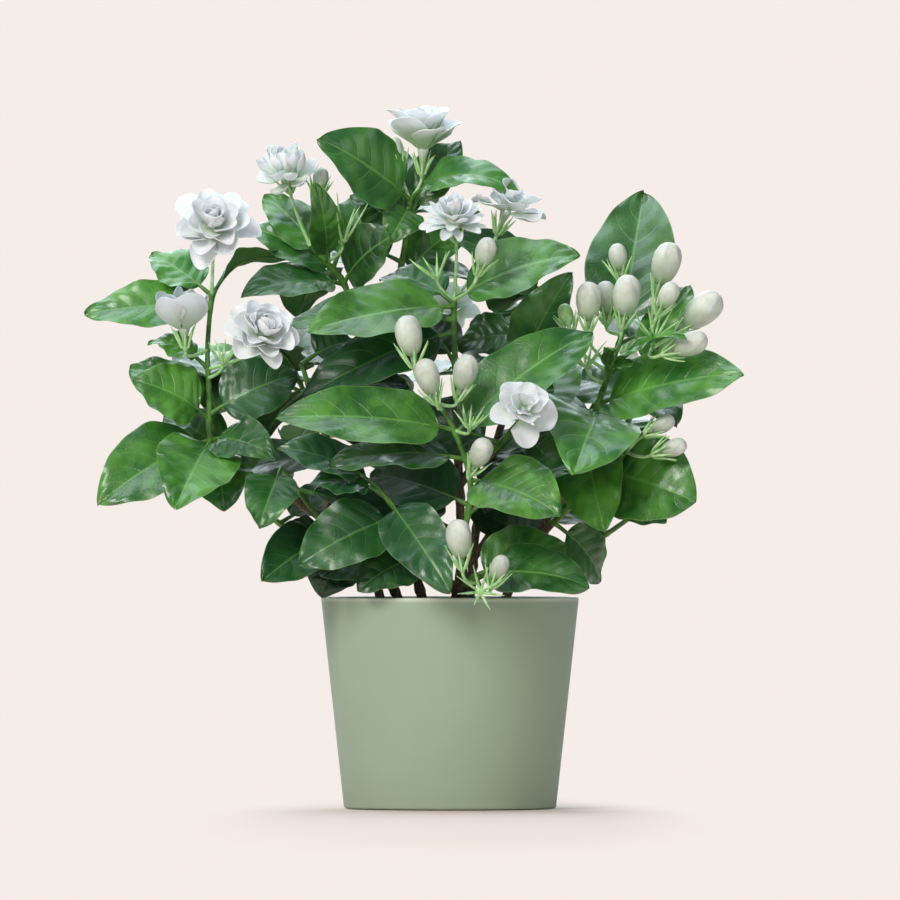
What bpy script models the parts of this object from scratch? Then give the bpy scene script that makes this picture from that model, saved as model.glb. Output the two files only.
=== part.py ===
"""A double-flowered Arabian jasmine in a tapered pot. Metres, +Z up, origin at the middle of its base.

The front of the plant looks along -Y. Places and sizes in the lists are in millimetres.
"""

import math
import random
from dataclasses import dataclass, field

import bmesh
import bpy
from mathutils import Matrix, Vector
from mathutils.bvhtree import BVHTree

MM = 0.001
GAP = 0.3

# Pot, in millimetres
POT_TOP_RADIUS = 64.5
POT_BASE_RADIUS = 53.0
POT_HEIGHT = 105.5
POT_WALL = 3.6
POT_FLOOR = 5.0
POT_EDGE = 1.2
POT_SIDES = 30
DRAIN_HOLES = 4
DRAIN_RADIUS = 5.0
DRAIN_CIRCLE = 30.0

# Soil
SOIL_LEVEL = 96.0
SOIL_SIDES = 18
SOIL_RINGS = (0.0, 20.0, 42.0)
SOIL_LUMPS = 1.8
FOOT_DEPTH = 40.0
HOLE_SIDES = 8
HOLE_CORNERS = 1.09

# Stems
WOOD_RADIUS = 2.7
WOOD_END_RADIUS = 1.8
FORK_RADIUS = 2.1
SHOOT_RADIUS = 1.6
SHOOT_END_RADIUS = 1.2
STALK_RADIUS = 0.8
STALK_SUNK = 1.4
STALK_BEND = 0.45
FORK_RISE = 3.0
END_RUN = 8.0
STEM_STEP = 18.0

# Leaves
LEAF_THICKNESS = 0.7
LEAF_CLEARANCE = 0.75
ROOT_SUNK = 0.8
PETIOLE = 8.0
PETIOLE_WIDTH = 2.2
LEAF_FOLD = 0.22
LEAF_WAVE = 1.3
LARGE_LEAF = (0.0, 0.16, 0.46, 0.78, 1.0)
SMALL_LEAF = (0.0, 0.3, 0.72, 1.0)
LARGE_LENGTH = 72.0
SHORTEST_LEAF = 48.0
BEND_TRIES = 220
BEND_STEP = 3.4
BEND_ACROSS = 0.35
GOLDEN_TURN = 2.39996
LIGHT = (0.0, -0.4, 0.8)
MOST_FORWARD = 0.1
CROWN_CENTRE = (-22.0, 6.0, 205.0)
CROWN_HALVES = (156.0, 128.0, 128.0)
CROWN_FOOT = 140.0
CROWN_FOOT_LEFT = -95.0
CROWN_FOOT_RIGHT = 84.0

# Flowers
CUP_RADIUS = 2.3
CUP_FOOT_RADIUS = 1.1
CUP_HEIGHT = 3.0
LOBES = 4
LOBE_WIDTH = 0.75
SHORT_LOBE = 0.86
TUBE_RADIUS = 1.1
THROAT_RADIUS = 3.0
PETAL_THICKNESS = 0.7
BUD_SIDES = 6
GREEN_BUD_SUNK = 1.2


@dataclass
class Leaf:
    """A leaf: where it leaves its shoot, its tip, its width, the way its upper face looks, and its arch."""

    at: float
    tip: tuple
    width: float
    face: tuple = (0.0, -0.62, 0.78)
    arch: float = 5.0


@dataclass
class Flower:
    """A bloom, a bud or a spent calyx: where its stalk leaves the shoot, its seat, direction and size."""

    kind: str
    at: float
    seat: tuple
    aim: tuple
    size: float = 1.0
    lobe: float = 9.0


@dataclass
class Shoot:
    """A green shoot: its way, the leaves placed one by one, pairs by the rule, and its flowers."""

    name: str
    way: list
    leaves: list = field(default_factory=list)
    pairs: list = field(default_factory=list)
    flowers: list = field(default_factory=list)


@dataclass
class Wood:
    """A woody stem: its foot in the soil, its way, the shoot at its end, and its forks to other shoots."""

    name: str
    foot: tuple
    way: list
    crown: str
    forks: list = field(default_factory=list)


WOODS = [
    Wood("centre", (7, 3), [(6, -3, 130), (4, -10, 180)], "centre", [(1.6, "centre_right")]),
    Wood(
        "left",
        (-24, -4),
        [(-38, -6, 122), (-74, -8, 152)],
        "left",
        [(1.0, "lower_left"), (1.7, "inner_left")],
    ),
    Wood("top", (-13, 22), [(-20, 26, 132), (-28, 24, 200)], "top", [(1.7, "back_left")]),
    Wood(
        "right",
        (26, 4),
        [(38, 3, 124), (54, -2, 155)],
        "right",
        [(1.0, "lower_right"), (1.7, "far_right")],
    ),
    Wood("front", (2, -24), [(4, -36, 112)], "middle", [(0.7, "front_left"), (0.5, "low_front")]),
    Wood(
        "back",
        (10, 34),
        [(12, 48, 128)],
        "back",
        [(0.6, "back_low_right"), (0.9, "back_right"), (1.3, "back_high")],
    ),
    Wood("back_left", (-34, 24), [(-40, 40, 124)], "far_back_left", [(0.8, "back_low_left")]),
]

SHOOTS = [
    Shoot(
        "left",
        [(-105, -14, 171), (-119, -20, 184), (-120, -24, 206), (-121, -23, 229), (-119, -20, 256)],
        leaves=[
            Leaf(1.0, (-175, -54, 152), 42, (0.1, -0.75, 0.65), 7),
            Leaf(1.0, (-136, -74, 151), 42, (0.0, -0.92, 0.35), 5),
            Leaf(0.8, (-113, -68, 149), 32, (0.0, -0.8, 0.6), 5),
            Leaf(1.0, (-88, -48, 176), 27, (0.0, -0.85, 0.5)),
            Leaf(1.5, (-160, -6, 221), 30, (0.1, -0.8, 0.6)),
            Leaf(1.5, (-158, -34, 214), 34, (-0.1, -0.8, 0.6)),
            Leaf(1.6, (-76, -18, 217), 34, (0.0, -0.9, 0.45)),
            Leaf(3.8, (-182.5, -22, 247), 28, (0.05, -0.8, 0.6), 2),
            Leaf(2.6, (-150, -42, 234), 18),
            Leaf(0.3, (-143, 4, 196), 28, (0.0, -0.8, 0.6)),
            Leaf(1.3, (-106, 14, 226), 24, (0.0, -0.8, 0.6)),
            Leaf(4.0, (-149.5, -6, 277), 30, (0.2, -0.7, 0.7), 2),
            Leaf(3.7, (-78, 4, 274), 22, (0.0, 0.5, 0.85), 12),
        ],
        pairs=[(0.4, 70), (2.2, 100)],
        flowers=[
            Flower("double", 4.0, (-118, -32, 283), (0.0, -0.86, 0.5), 1.22),
            Flower("cup", 3.0, (-132, -36, 231), (-0.05, -0.15, 1.0), 1.0),
            Flower("double", 2.6, (-98, -46, 230), (0.3, -0.8, 0.5), 1.16),
            Flower("spent", 2.4, (-113, -36, 224), (0.1, -0.3, 0.95)),
        ],
    ),
    Shoot(
        "lower_left",
        [(-48, -10, 128), (-66, -22, 146), (-84, -32, 170)],
        leaves=[
            Leaf(2.0, (-95, -62, 141), 27, (0.0, -0.95, 0.3), 4),
            Leaf(0.6, (-90, -56, 110), 32, (0.1, -0.85, 0.5), 4),
            Leaf(0.2, (-68, -46, 109), 30, (0.0, -0.8, 0.6)),
            Leaf(0.4, (-88, -12, 124), 32, (0.0, -0.8, 0.6)),
        ],
        pairs=[(0.5, 80), (1.5, 20)],
    ),
    Shoot(
        "inner_left",
        [(-58, 2, 176), (-68, 0, 202), (-74, -2, 222)],
        leaves=[
            Leaf(2.0, (-46, 14, 233), 28, (0.0, -0.8, 0.6)),
            Leaf(1.0, (-22, 10, 213), 34, (0.0, -0.8, 0.6)),
        ],
        pairs=[(0.6, 20), (1.3, 100), (2.0, 50)],
    ),
    Shoot(
        "back_left",
        [(-42, 20, 232), (-53, 12, 262), (-62, 6, 273), (-70, 2, 281)],
        leaves=[
            Leaf(1.0, (-104, -18, 256), 30),
            Leaf(1.2, (-101, -8, 293), 26, (0.0, -0.7, 0.7)),
            Leaf(1.0, (-27, -16, 287), 34, (0.0, -0.85, 0.5)),
            Leaf(2.0, (-63, 2, 312), 18, (0.2, -0.95, 0.2)),
            Leaf(2.0, (-94, 26, 306), 24, (0.0, -0.8, 0.6)),
            Leaf(1.6, (-40, 22, 308), 24, (0.0, -0.8, 0.6)),
        ],
        pairs=[(0.4, 60), (1.6, 110)],
        flowers=[
            Flower("double", 3.0, (-80, -4, 309), (-0.15, -0.6, 0.78), 0.95),
            Flower("bud", 3.0, (-66, 0, 306), (0.15, -0.3, 0.95), 0.62),
            Flower("spent", 2.0, (-54, -2, 284), (-0.1, -0.25, 1.0), lobe=20),
        ],
    ),
    Shoot(
        "top",
        [(-26, 14, 262), (-22, 8, 286), (-20, 2, 304)],
        leaves=[
            Leaf(2.0, (-66, -12, 333), 39, (0.0, -0.9, 0.45), 4),
            Leaf(2.0, (34.5, -18, 308), 27, (0.0, -0.6, 0.8), 13),
            Leaf(1.7, (-30, -20, 284), 22, (0.1, -0.95, 0.2)),
            Leaf(1.0, (-50, 4, 306), 24, (0.1, -0.9, 0.4)),
            Leaf(0.5, (-58, 36, 281), 34, (0.0, -0.8, 0.6)),
            Leaf(0.1, (8, 26, 292), 26, (0.0, -0.8, 0.6)),
            Leaf(1.4, (5, 18, 334), 24, (0.0, -0.8, 0.6)),
            Leaf(1.1, (-27, 32, 331), 22, (0.0, -0.8, 0.6)),
        ],
        pairs=[(0.3, 20), (0.9, 80), (1.5, 75)],
        flowers=[
            Flower("funnel", 2.0, (-14, -2, 318), (0.05, -0.1, 1.0), 1.1),
            Flower("bud", 2.0, (-25, 0, 319), (-0.25, -0.1, 0.95), 0.72),
        ],
    ),
    Shoot(
        "centre",
        [(3, -16, 215), (2, -26, 238), (2, -32, 254)],
        leaves=[
            Leaf(1.7, (-71, -60, 238), 38, (0.0, -0.7, 0.7), 4),
            Leaf(2.0, (64.5, -44, 276.5), 38, (0.0, -0.7, 0.7), 5),
            Leaf(1.8, (-34, -4, 267), 30, (0.0, -0.5, 0.85)),
            Leaf(0.3, (-15, 14, 247), 24, (0.0, -0.8, 0.6)),
            Leaf(1.3, (-82, -30, 242), 36, (0.0, -0.6, 0.8), 4),
            Leaf(1.0, (-74, -34, 204), 36, (0.0, -0.7, 0.7)),
        ],
        pairs=[(0.4, 40), (1.2, 150)],
        flowers=[
            Flower("narrow", 2.0, (3, -40, 284), (-0.05, -0.6, 0.8), 0.95),
            Flower("loose", 2.0, (24, -14, 288), (0.35, -0.2, 0.9), 0.9),
            Flower("bud", 2.0, (14, -54, 267), (0.3, -0.3, 0.9), 0.8),
            Flower("spent", 2.0, (-7, -42, 266), (-0.2, -0.3, 0.95), lobe=11),
        ],
    ),
    Shoot(
        "centre_right",
        [(21, -20, 178), (32, -36, 190), (37, -44, 196)],
        leaves=[
            Leaf(0.8, (62, -8, 226), 34, (0.0, -0.8, 0.6)),
            Leaf(0.4, (-26, -6, 192), 36, (0.0, -0.8, 0.6)),
            Leaf(1.0, (52, -24, 166), 30, (0.0, -0.8, 0.6)),
        ],
        pairs=[(0.6, 10), (1.5, 100)],
        flowers=[
            Flower("loose", 2.0, (35, -73, 194), (0.1, -0.9, 0.42), 1.1),
        ],
    ),
    Shoot(
        "middle",
        [(8, -52, 142), (10, -58, 164), (2, -62, 189), (-6, -64, 202)],
        leaves=[
            Leaf(2.0, (-86.5, -76, 195), 37, (0.0, -0.78, 0.62), 5),
            Leaf(1.9, (71, -44, 238), 40, (0.0, -0.7, 0.7), 6),
            Leaf(1.4, (-60, -66, 172), 30, (0.0, -0.6, 0.8)),
            Leaf(1.0, (54, -96, 147), 42, (0.0, -0.76, 0.65), 5),
            Leaf(0.5, (-40, -30, 166), 36, (0.0, -0.85, 0.5)),
        ],
        pairs=[(0.3, 10)],
        flowers=[
            Flower("bud", 2.6, (-18, -73, 221), (-0.15, -0.1, 0.98), 1.05, 11),
            Flower("bud", 3.0, (-7, -74, 203), (-0.3, -0.25, 0.92), 0.95),
            Flower("bud", 3.0, (4, -68, 205), (0.25, -0.3, 0.92), 0.95),
            Flower("spent", 2.0, (10, -68, 191), (0.15, -0.3, 0.95)),
            Flower("bud", 1.2, (11, -74, 168), (0.35, -0.5, 0.78), 0.85),
        ],
    ),
    Shoot(
        "front_left",
        [(-10, -38, 124), (-22, -44, 141), (-30, -50, 153), (-38, -53, 162)],
        leaves=[
            Leaf(2.0, (0, -92, 109), 31, (-0.25, -0.75, 0.6), 6),
            Leaf(2.4, (-69, -74, 165), 26),
            Leaf(1.4, (-75, -64, 122), 36, (0.1, -0.85, 0.5)),
            Leaf(3.0, (-86, -56, 180), 28),
            Leaf(0.6, (-66, -28, 118), 36, (0.0, -0.8, 0.6)),
            Leaf(0.2, (-46, -60, 109), 30, (0.0, -0.8, 0.6)),
        ],
    ),
    Shoot(
        "low_front",
        [(8, -52, 112), (12, -66, 116), (15, -80, 111)],
        leaves=[
            Leaf(0.9, (69, -84, 111.5), 36, (0.1, -0.7, 0.7), 6),
            Leaf(0.5, (58, -46, 132), 34, (0.0, -0.8, 0.6)),
        ],
        flowers=[
            Flower("bud", 1.6, (6, -91, 121), (-0.1, -0.15, 0.98), 1.0, 10),
            Flower("bud", 2.0, (21, -92, 112), (0.35, -0.25, 0.9), 0.68),
            Flower("spent", 2.0, (15, -91, 109), (0.0, -1.0, 0.15), lobe=14),
        ],
    ),
    Shoot(
        "right",
        [(66, -8, 178), (74, -14, 202), (81, -16, 222), (88, -12, 244)],
        leaves=[
            Leaf(1.0, (140, -36, 230), 42, (0.0, -0.8, 0.6), 4),
            Leaf(0.8, (61, -92, 167), 50, (0.15, -0.88, 0.45), 9),
            Leaf(0.4, (77, -60, 138), 36, (-0.3, -0.9, 0.3), 5),
            Leaf(2.6, (98, 14, 308.5), 45, (-0.15, -1.0, 0.1), 3),
            Leaf(1.6, (81, -30, 229), 7),
            Leaf(1.3, (92, -32, 227), 7),
            Leaf(1.8, (116, -38, 237), 13),
        ],
        pairs=[(0.4, 60), (2.4, 60)],
        flowers=[
            Flower("bud", 2.0, (69, -32, 239), (0.0, -0.1, 1.0), 1.0),
            Flower("bud", 2.6, (78, -18, 243), (-0.02, 0.0, 1.0), 0.85),
            Flower("bud", 2.3, (86, -34, 241), (0.12, -0.2, 0.97), 1.08),
            Flower("bud", 3.0, (85, -12, 265), (-0.1, -0.1, 1.0), 0.72),
            Flower("green_bud", 1.8, (60, -26, 238), (-0.25, -0.1, 1.0), 0.6),
            Flower("spent", 1.5, (68, -28, 222), (-0.1, -0.4, 0.9), lobe=11),
        ],
    ),
    Shoot(
        "far_right",
        [(88, -2, 190), (95, -14, 211), (101, -20, 230)],
        leaves=[
            Leaf(0.6, (60, 22, 214), 30, (0.0, -0.8, 0.6)),
            Leaf(1.2, (120, 4, 262), 24, (0.0, -0.8, 0.6)),
        ],
        pairs=[(0.5, 60)],
        flowers=[
            Flower("bud", 2.0, (103, -16, 257), (0.3, -0.15, 0.93), 1.12),
            Flower("bud", 2.0, (104, -34, 247), (0.45, -0.3, 0.85), 0.75),
            Flower("bud", 2.0, (113, -24, 238), (0.75, -0.2, 0.63), 1.2),
            Flower("bud", 2.0, (107, -48, 227), (0.9, -0.2, 0.35), 0.95),
            Flower("spent", 2.0, (102, -33, 236), (0.1, -0.5, 0.85), lobe=13),
        ],
    ),
    Shoot(
        "lower_right",
        [(51, -8, 142), (64, -20, 155), (76, -28, 169), (88, -34, 178)],
        leaves=[
            Leaf(2.0, (122.5, -54, 155), 50, (0.0, -0.92, 0.38), 3),
            Leaf(1.2, (108, -34, 143), 30, (0.0, -0.7, 0.7)),
            Leaf(0.1, (74, 14, 112), 28, (0.0, -0.8, 0.6)),
        ],
        pairs=[(0.5, 100)],
        flowers=[
            Flower("bud", 3.0, (98, -42, 187), (0.85, -0.2, 0.5), 0.66),
            Flower("bud", 3.0, (102, -48, 177), (0.9, -0.2, 0.3), 0.7),
        ],
    ),
    Shoot(
        "back",
        [(14, 66, 168), (8, 84, 202), (2, 94, 230)],
        pairs=[(0.3, 10), (0.9, 80), (1.5, 150), (2.0, 60)],
        flowers=[
            Flower("double", 2.0, (0, 104, 242), (-0.1, 0.7, 0.7), 0.95),
            Flower("bud", 2.0, (22, 100, 236), (0.6, 0.2, 0.8), 0.9),
        ],
    ),
    Shoot(
        "back_high",
        [(32, 36, 210), (42, 38, 236), (48, 36, 256)],
        leaves=[
            Leaf(2.0, (2, 14, 286), 32, (0.0, -0.8, 0.6)),
            Leaf(0.2, (61, 14, 268), 30, (0.0, -0.8, 0.6)),
            Leaf(1.0, (4, 12, 230), 26, (0.0, -0.8, 0.6)),
        ],
        pairs=[(0.4, 60), (1.1, 0), (1.6, 120), (2.0, 110)],
    ),
    Shoot(
        "back_right",
        [(50, 52, 168), (68, 64, 194), (80, 72, 216)],
        pairs=[(0.4, 40), (1.0, 120), (1.6, 60), (2.0, 120)],
        flowers=[
            Flower("loose", 2.0, (88, 80, 228), (0.4, 0.6, 0.7), 1.05),
        ],
    ),
    Shoot(
        "back_low_right",
        [(48, 46, 122), (74, 56, 134), (92, 62, 146)],
        leaves=[
            Leaf(0.2, (8, 30, 150), 34, (0.0, -0.8, 0.6)),
        ],
        pairs=[(0.5, 90), (1.2, 150), (2.0, 20)],
    ),
    Shoot(
        "far_back_left",
        [(-50, 56, 166), (-66, 68, 192), (-76, 74, 214)],
        pairs=[(0.4, 20), (1.0, 100), (1.6, 160), (2.0, 60)],
        flowers=[
            Flower("double", 2.0, (-80, 84, 224), (-0.3, 0.65, 0.7), 0.95),
        ],
    ),
    Shoot(
        "back_low_left",
        [(-58, 50, 126), (-80, 60, 138), (-96, 64, 150)],
        leaves=[
            Leaf(0.2, (-2, 36, 150), 34, (0.0, -0.8, 0.6)),
            Leaf(0.1, (6, 48, 141), 30, (0.0, -0.8, 0.6)),
        ],
        pairs=[(0.6, 100), (1.3, 30), (2.0, 70)],
    ),
]

# Layers of petals from the outside in: first tilt, last tilt, length, width
PETAL_LAYERS = {
    "double": [(64, 98, 18.0, 14.2), (40, 66, 15.0, 10.2), (18, 42, 11.0, 5.0)],
    "narrow": [(72, 98, 16.5, 8.5), (46, 70, 15.0, 7.5), (20, 40, 11.0, 4.6)],
    "funnel": [(36, 62, 20.0, 13.0), (10, 28, 18.0, 7.5)],
    "cup": [(26, 9, 21.0, 10.4)],
    "loose": [(64, 90, 16.5, 13.0), (28, 54, 13.0, 9.0)],
}
PETALS_IN_LAYER = {"double": 5, "narrow": 6, "funnel": 6, "cup": 5, "loose": 5}
PETAL_STATIONS = ((0.48, 0.76), (0.84, 1.0), (1.0, 0.58))
INNER_STATIONS = ((0.68, 0.94), (1.0, 0.55))
PETAL_ROLL = 0.2
DOME_STEP = 1.35
DOME_SHRINK = 0.72
TUBE_LENGTH = {"double": 9.0, "narrow": 9.0, "funnel": 10.0, "cup": 8.0, "loose": 9.0}
BUD_LENGTH = 24.0
BUD_RADIUS = 7.0
BUD_TUBE = 0.3
LOBE_TILT = {"spent": 38.0, "bud": 30.0, "green_bud": 30.0}
BLOOM_LOBE_TILT = 26.0
COLOURS = {
    "pot": ((0.36, 0.42, 0.32, 1.0), 0.55),
    "soil": ((0.035, 0.022, 0.015, 1.0), 0.95),
    "wood": ((0.2, 0.13, 0.07, 1.0), 0.8),
    "shoot": ((0.06, 0.22, 0.03, 1.0), 0.35),
    "bloom": ((0.87, 0.88, 0.86, 1.0), 0.5),
    "bud": ((0.82, 0.84, 0.72, 1.0), 0.45),
}


def along(way, at):
    """The point of a smooth curve through the way's points; 1.5 is halfway from the second to the third."""
    first = min(int(at), len(way) - 2)
    part = at - first
    before, start, end, after = (Vector(way[min(max(first + k, 0), len(way) - 1)]) for k in (-1, 0, 1, 2))
    bend = 2 * start + (end - before) * part
    bend += (2 * before - 5 * start + 4 * end - after) * part**2
    bend += (3 * start - before - 3 * end + after) * part**3
    return bend / 2


def smooth_way(way):
    """Evenly placed points on the curve through the way, about a stem step apart."""
    length = sum((Vector(b) - Vector(a)).length for a, b in zip(way, way[1:]))
    steps = max(len(way), round(length / STEM_STEP))
    return [along(way, k * (len(way) - 1) / steps) for k in range(steps + 1)]


def new_object(name, mesh, collection):
    obj = bpy.data.objects.new(name, mesh)
    collection.objects.link(obj)
    return obj


def mesh_from(name, bm):
    """A mesh in metres from a bmesh in millimetres."""
    bmesh.ops.scale(bm, vec=(MM, MM, MM), verts=bm.verts)
    mesh = bpy.data.meshes.new(name)
    bm.to_mesh(mesh)
    bm.free()
    return mesh


def applied(obj):
    """The object's mesh after its modifiers."""
    bpy.context.view_layer.update()
    graph = bpy.context.evaluated_depsgraph_get()
    return bpy.data.meshes.new_from_object(obj.evaluated_get(graph))


def tube(name, points, start_radius, end_radius, resolution, collection):
    """A round stem along the points, thinner towards its end."""
    curve = bpy.data.curves.new(name, "CURVE")
    curve.dimensions = "3D"
    curve.bevel_depth = MM
    curve.bevel_resolution = resolution
    curve.use_fill_caps = True
    spline = curve.splines.new("POLY")
    spline.points.add(len(points) - 1)
    for k, place in enumerate(points):
        spline.points[k].co = (*(Vector(place) * MM), 1.0)
        spline.points[k].radius = start_radius + (end_radius - start_radius) * k / (len(points) - 1)
    guide = bpy.data.objects.new(name + "_curve", curve)
    collection.objects.link(guide)
    mesh = applied(guide)
    bm = bmesh.new()
    bm.from_mesh(mesh)
    bmesh.ops.remove_doubles(bm, verts=bm.verts, dist=0.00001)
    bm.to_mesh(mesh)
    bm.free()
    obj = new_object(name, mesh, collection)
    obj.matrix_world = guide.matrix_world
    bpy.data.objects.remove(guide)
    return obj


def keep_largest(mesh):
    """Drops loose scraps and fills sealed hollows: only the largest shell stays."""
    bm = bmesh.new()
    bm.from_mesh(mesh)
    left = set(bm.verts)
    shells = []
    while left:
        shell = [left.pop()]
        for vert in shell:
            near = {edge.other_vert(vert) for edge in vert.link_edges} & left
            left -= near
            shell.extend(near)
        shells.append(shell)
    shells.sort(key=len)
    bmesh.ops.delete(bm, geom=[vert for shell in shells[:-1] for vert in shell], context="VERTS")
    bm.to_mesh(mesh)
    bm.free()


def fuse(body, pieces):
    """Joins the pieces to the body in one solid and removes them."""
    joined = body.modifiers.new("grown_together", "BOOLEAN")
    joined.operation = "UNION"
    joined.operand_type = "COLLECTION"
    joined.collection = pieces
    joined.solver = "MANIFOLD"
    mesh = applied(body)
    keep_largest(mesh)
    body.modifiers.clear()
    body.data = mesh
    for piece in list(pieces.objects):
        bpy.data.objects.remove(piece)
    bpy.data.collections.remove(pieces)


def pieces_collection(name):
    pieces = bpy.data.collections.new(name)
    bpy.context.scene.collection.children.link(pieces)
    return pieces


def finish(obj, kind):
    """Gives the object its own plain material."""
    colour, roughness = COLOURS[kind]
    material = bpy.data.materials.new(obj.name)
    material.use_nodes = True
    shader = material.node_tree.nodes["Principled BSDF"]
    shader.inputs["Base Color"].default_value = colour
    shader.inputs["Roughness"].default_value = roughness
    material.diffuse_color = colour
    obj.data.materials.clear()
    obj.data.materials.append(material)


def turned(name, profile, sides, collection):
    """A turned solid from a profile of (radius, height) that runs down its outer side."""
    bm = bmesh.new()
    points = [bm.verts.new((radius, 0.0, height)) for radius, height in profile]
    for upper, lower in zip(points, points[1:]):
        bm.edges.new((upper, lower))
    obj = new_object(name, mesh_from(name, bm), collection)
    turn = obj.modifiers.new("turn", "SCREW")
    turn.steps = sides
    turn.render_steps = sides
    turn.use_merge_vertices = True
    turn.merge_threshold = 0.00001
    return obj


def pot(collection, cutters):
    """The tapered pot, with drain holes in its flat floor."""
    slope = (POT_TOP_RADIUS - POT_BASE_RADIUS) / POT_HEIGHT
    inner_base = POT_BASE_RADIUS - POT_WALL + slope * POT_FLOOR
    inner_top = POT_TOP_RADIUS - POT_WALL
    profile = [
        (0.0, POT_FLOOR),
        (inner_base, POT_FLOOR),
        (inner_top, POT_HEIGHT - POT_EDGE),
        (inner_top + POT_EDGE, POT_HEIGHT),
        (POT_TOP_RADIUS - POT_EDGE, POT_HEIGHT),
        (POT_TOP_RADIUS, POT_HEIGHT - POT_EDGE),
        (POT_BASE_RADIUS + slope * POT_EDGE, POT_EDGE),
        (POT_BASE_RADIUS - POT_EDGE, 0.0),
        (0.0, 0.0),
    ]
    obj = turned("pot", profile, POT_SIDES, collection)
    holes = pieces_collection("drain_holes")
    for k in range(DRAIN_HOLES):
        angle = math.tau * (k + 0.5) / DRAIN_HOLES
        place = Vector((DRAIN_CIRCLE * math.cos(angle), DRAIN_CIRCLE * math.sin(angle), POT_FLOOR / 2))
        bm = bmesh.new()
        bmesh.ops.create_cone(
            bm, cap_ends=True, segments=12, radius1=DRAIN_RADIUS, radius2=DRAIN_RADIUS, depth=3 * POT_FLOOR
        )
        bmesh.ops.translate(bm, verts=bm.verts, vec=place)
        new_object(f"drain_hole_{k + 1}", mesh_from("drain_hole", bm), holes)
    cut(obj, holes, cutters)
    finish(obj, "pot")


def cut(obj, holes, cutters):
    """Cuts the collection of holes from the object and keeps them as cutters."""
    opening = obj.modifiers.new("holes", "BOOLEAN")
    opening.operand_type = "COLLECTION"
    opening.collection = holes
    bpy.context.scene.collection.children.unlink(holes)
    cutters.children.link(holes)
    for hole in holes.objects:
        hole.hide_render = True
        hole.display_type = "WIRE"


def soil(collection, cutters):
    """The potting mix: a lumpy slab that fills the pot, with a plain hole for each stem."""
    slope = (POT_TOP_RADIUS - POT_BASE_RADIUS) / POT_HEIGHT
    base_radius = POT_BASE_RADIUS - POT_WALL + slope * POT_FLOOR - GAP - 0.1
    top_radius = base_radius + slope * (SOIL_LEVEL - POT_FLOOR)
    profile = [(radius, SOIL_LEVEL) for radius in SOIL_RINGS]
    profile += [(top_radius, SOIL_LEVEL - 1.5), (base_radius, POT_FLOOR + GAP), (0.0, POT_FLOOR + GAP)]
    obj = turned("soil", profile, SOIL_SIDES, collection)
    mesh = applied(obj)
    obj.modifiers.clear()
    obj.data = mesh
    for vert in mesh.vertices:
        x, y, z = vert.co / MM
        if z > SOIL_LEVEL - 1.0:
            lumps = math.sin(0.19 * x + 1.0) * math.cos(0.23 * y) + 0.5 * math.sin(0.4 * x - 0.31 * y)
            vert.co.z += SOIL_LUMPS * lumps * MM
    holes = pieces_collection("stem_holes")
    for wood in WOODS:
        x, y = wood.foot
        radius = (WOOD_RADIUS + GAP) * HOLE_CORNERS
        bottom = SOIL_LEVEL - FOOT_DEPTH - GAP
        bm = bmesh.new()
        bmesh.ops.create_cone(
            bm, cap_ends=True, segments=HOLE_SIDES, radius1=radius, radius2=radius, depth=FOOT_DEPTH * 2
        )
        bmesh.ops.translate(bm, verts=bm.verts, vec=(x, y, bottom + FOOT_DEPTH))
        new_object(f"stem_hole_{wood.name}", mesh_from("stem_hole", bm), holes)
    cut(obj, holes, cutters)
    finish(obj, "soil")


def shoot_named(name):
    return next(shoot for shoot in SHOOTS if shoot.name == name)


def joint_of(shoot):
    """Where a shoot starts, and the direction in which it leaves its woody stem."""
    points = smooth_way(shoot.way)
    return points[0], (points[1] - points[0]).normalized()


def woody_stem(wood, collection):
    """A woody stem with its forks. Each ends just under its green shoot."""
    x, y = wood.foot
    end, direction = joint_of(shoot_named(wood.crown))
    way = [(x, y, SOIL_LEVEL + 2), *wood.way, end - END_RUN * direction]
    points = [Vector((x, y, SOIL_LEVEL - FOOT_DEPTH)), *smooth_way(way), end]
    obj = tube("woody_stem_" + wood.name, points, WOOD_RADIUS, WOOD_END_RADIUS, 1, collection)
    if wood.forks:
        pieces = pieces_collection("forks")
        for at, name in wood.forks:
            tip, direction = joint_of(shoot_named(name))
            root = along(way, at)
            neck = tip - END_RUN * direction
            bend = root.lerp(neck, 0.5) + Vector((0.0, 0.0, FORK_RISE))
            fork = [*smooth_way([root, bend, neck]), tip]
            tube("fork_" + name, fork, FORK_RADIUS, WOOD_END_RADIUS, 0, pieces)
        fuse(obj, pieces)
    finish(obj, "wood")
    return obj


def towards(aim):
    """The turn that lays +Z along a direction."""
    return Vector(aim).to_track_quat("Z", "Y").to_matrix().to_4x4()


def placed(flower):
    """The place and turn of a flower's seat."""
    return Matrix.Translation(Vector(flower.seat)) @ towards(flower.aim)


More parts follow.
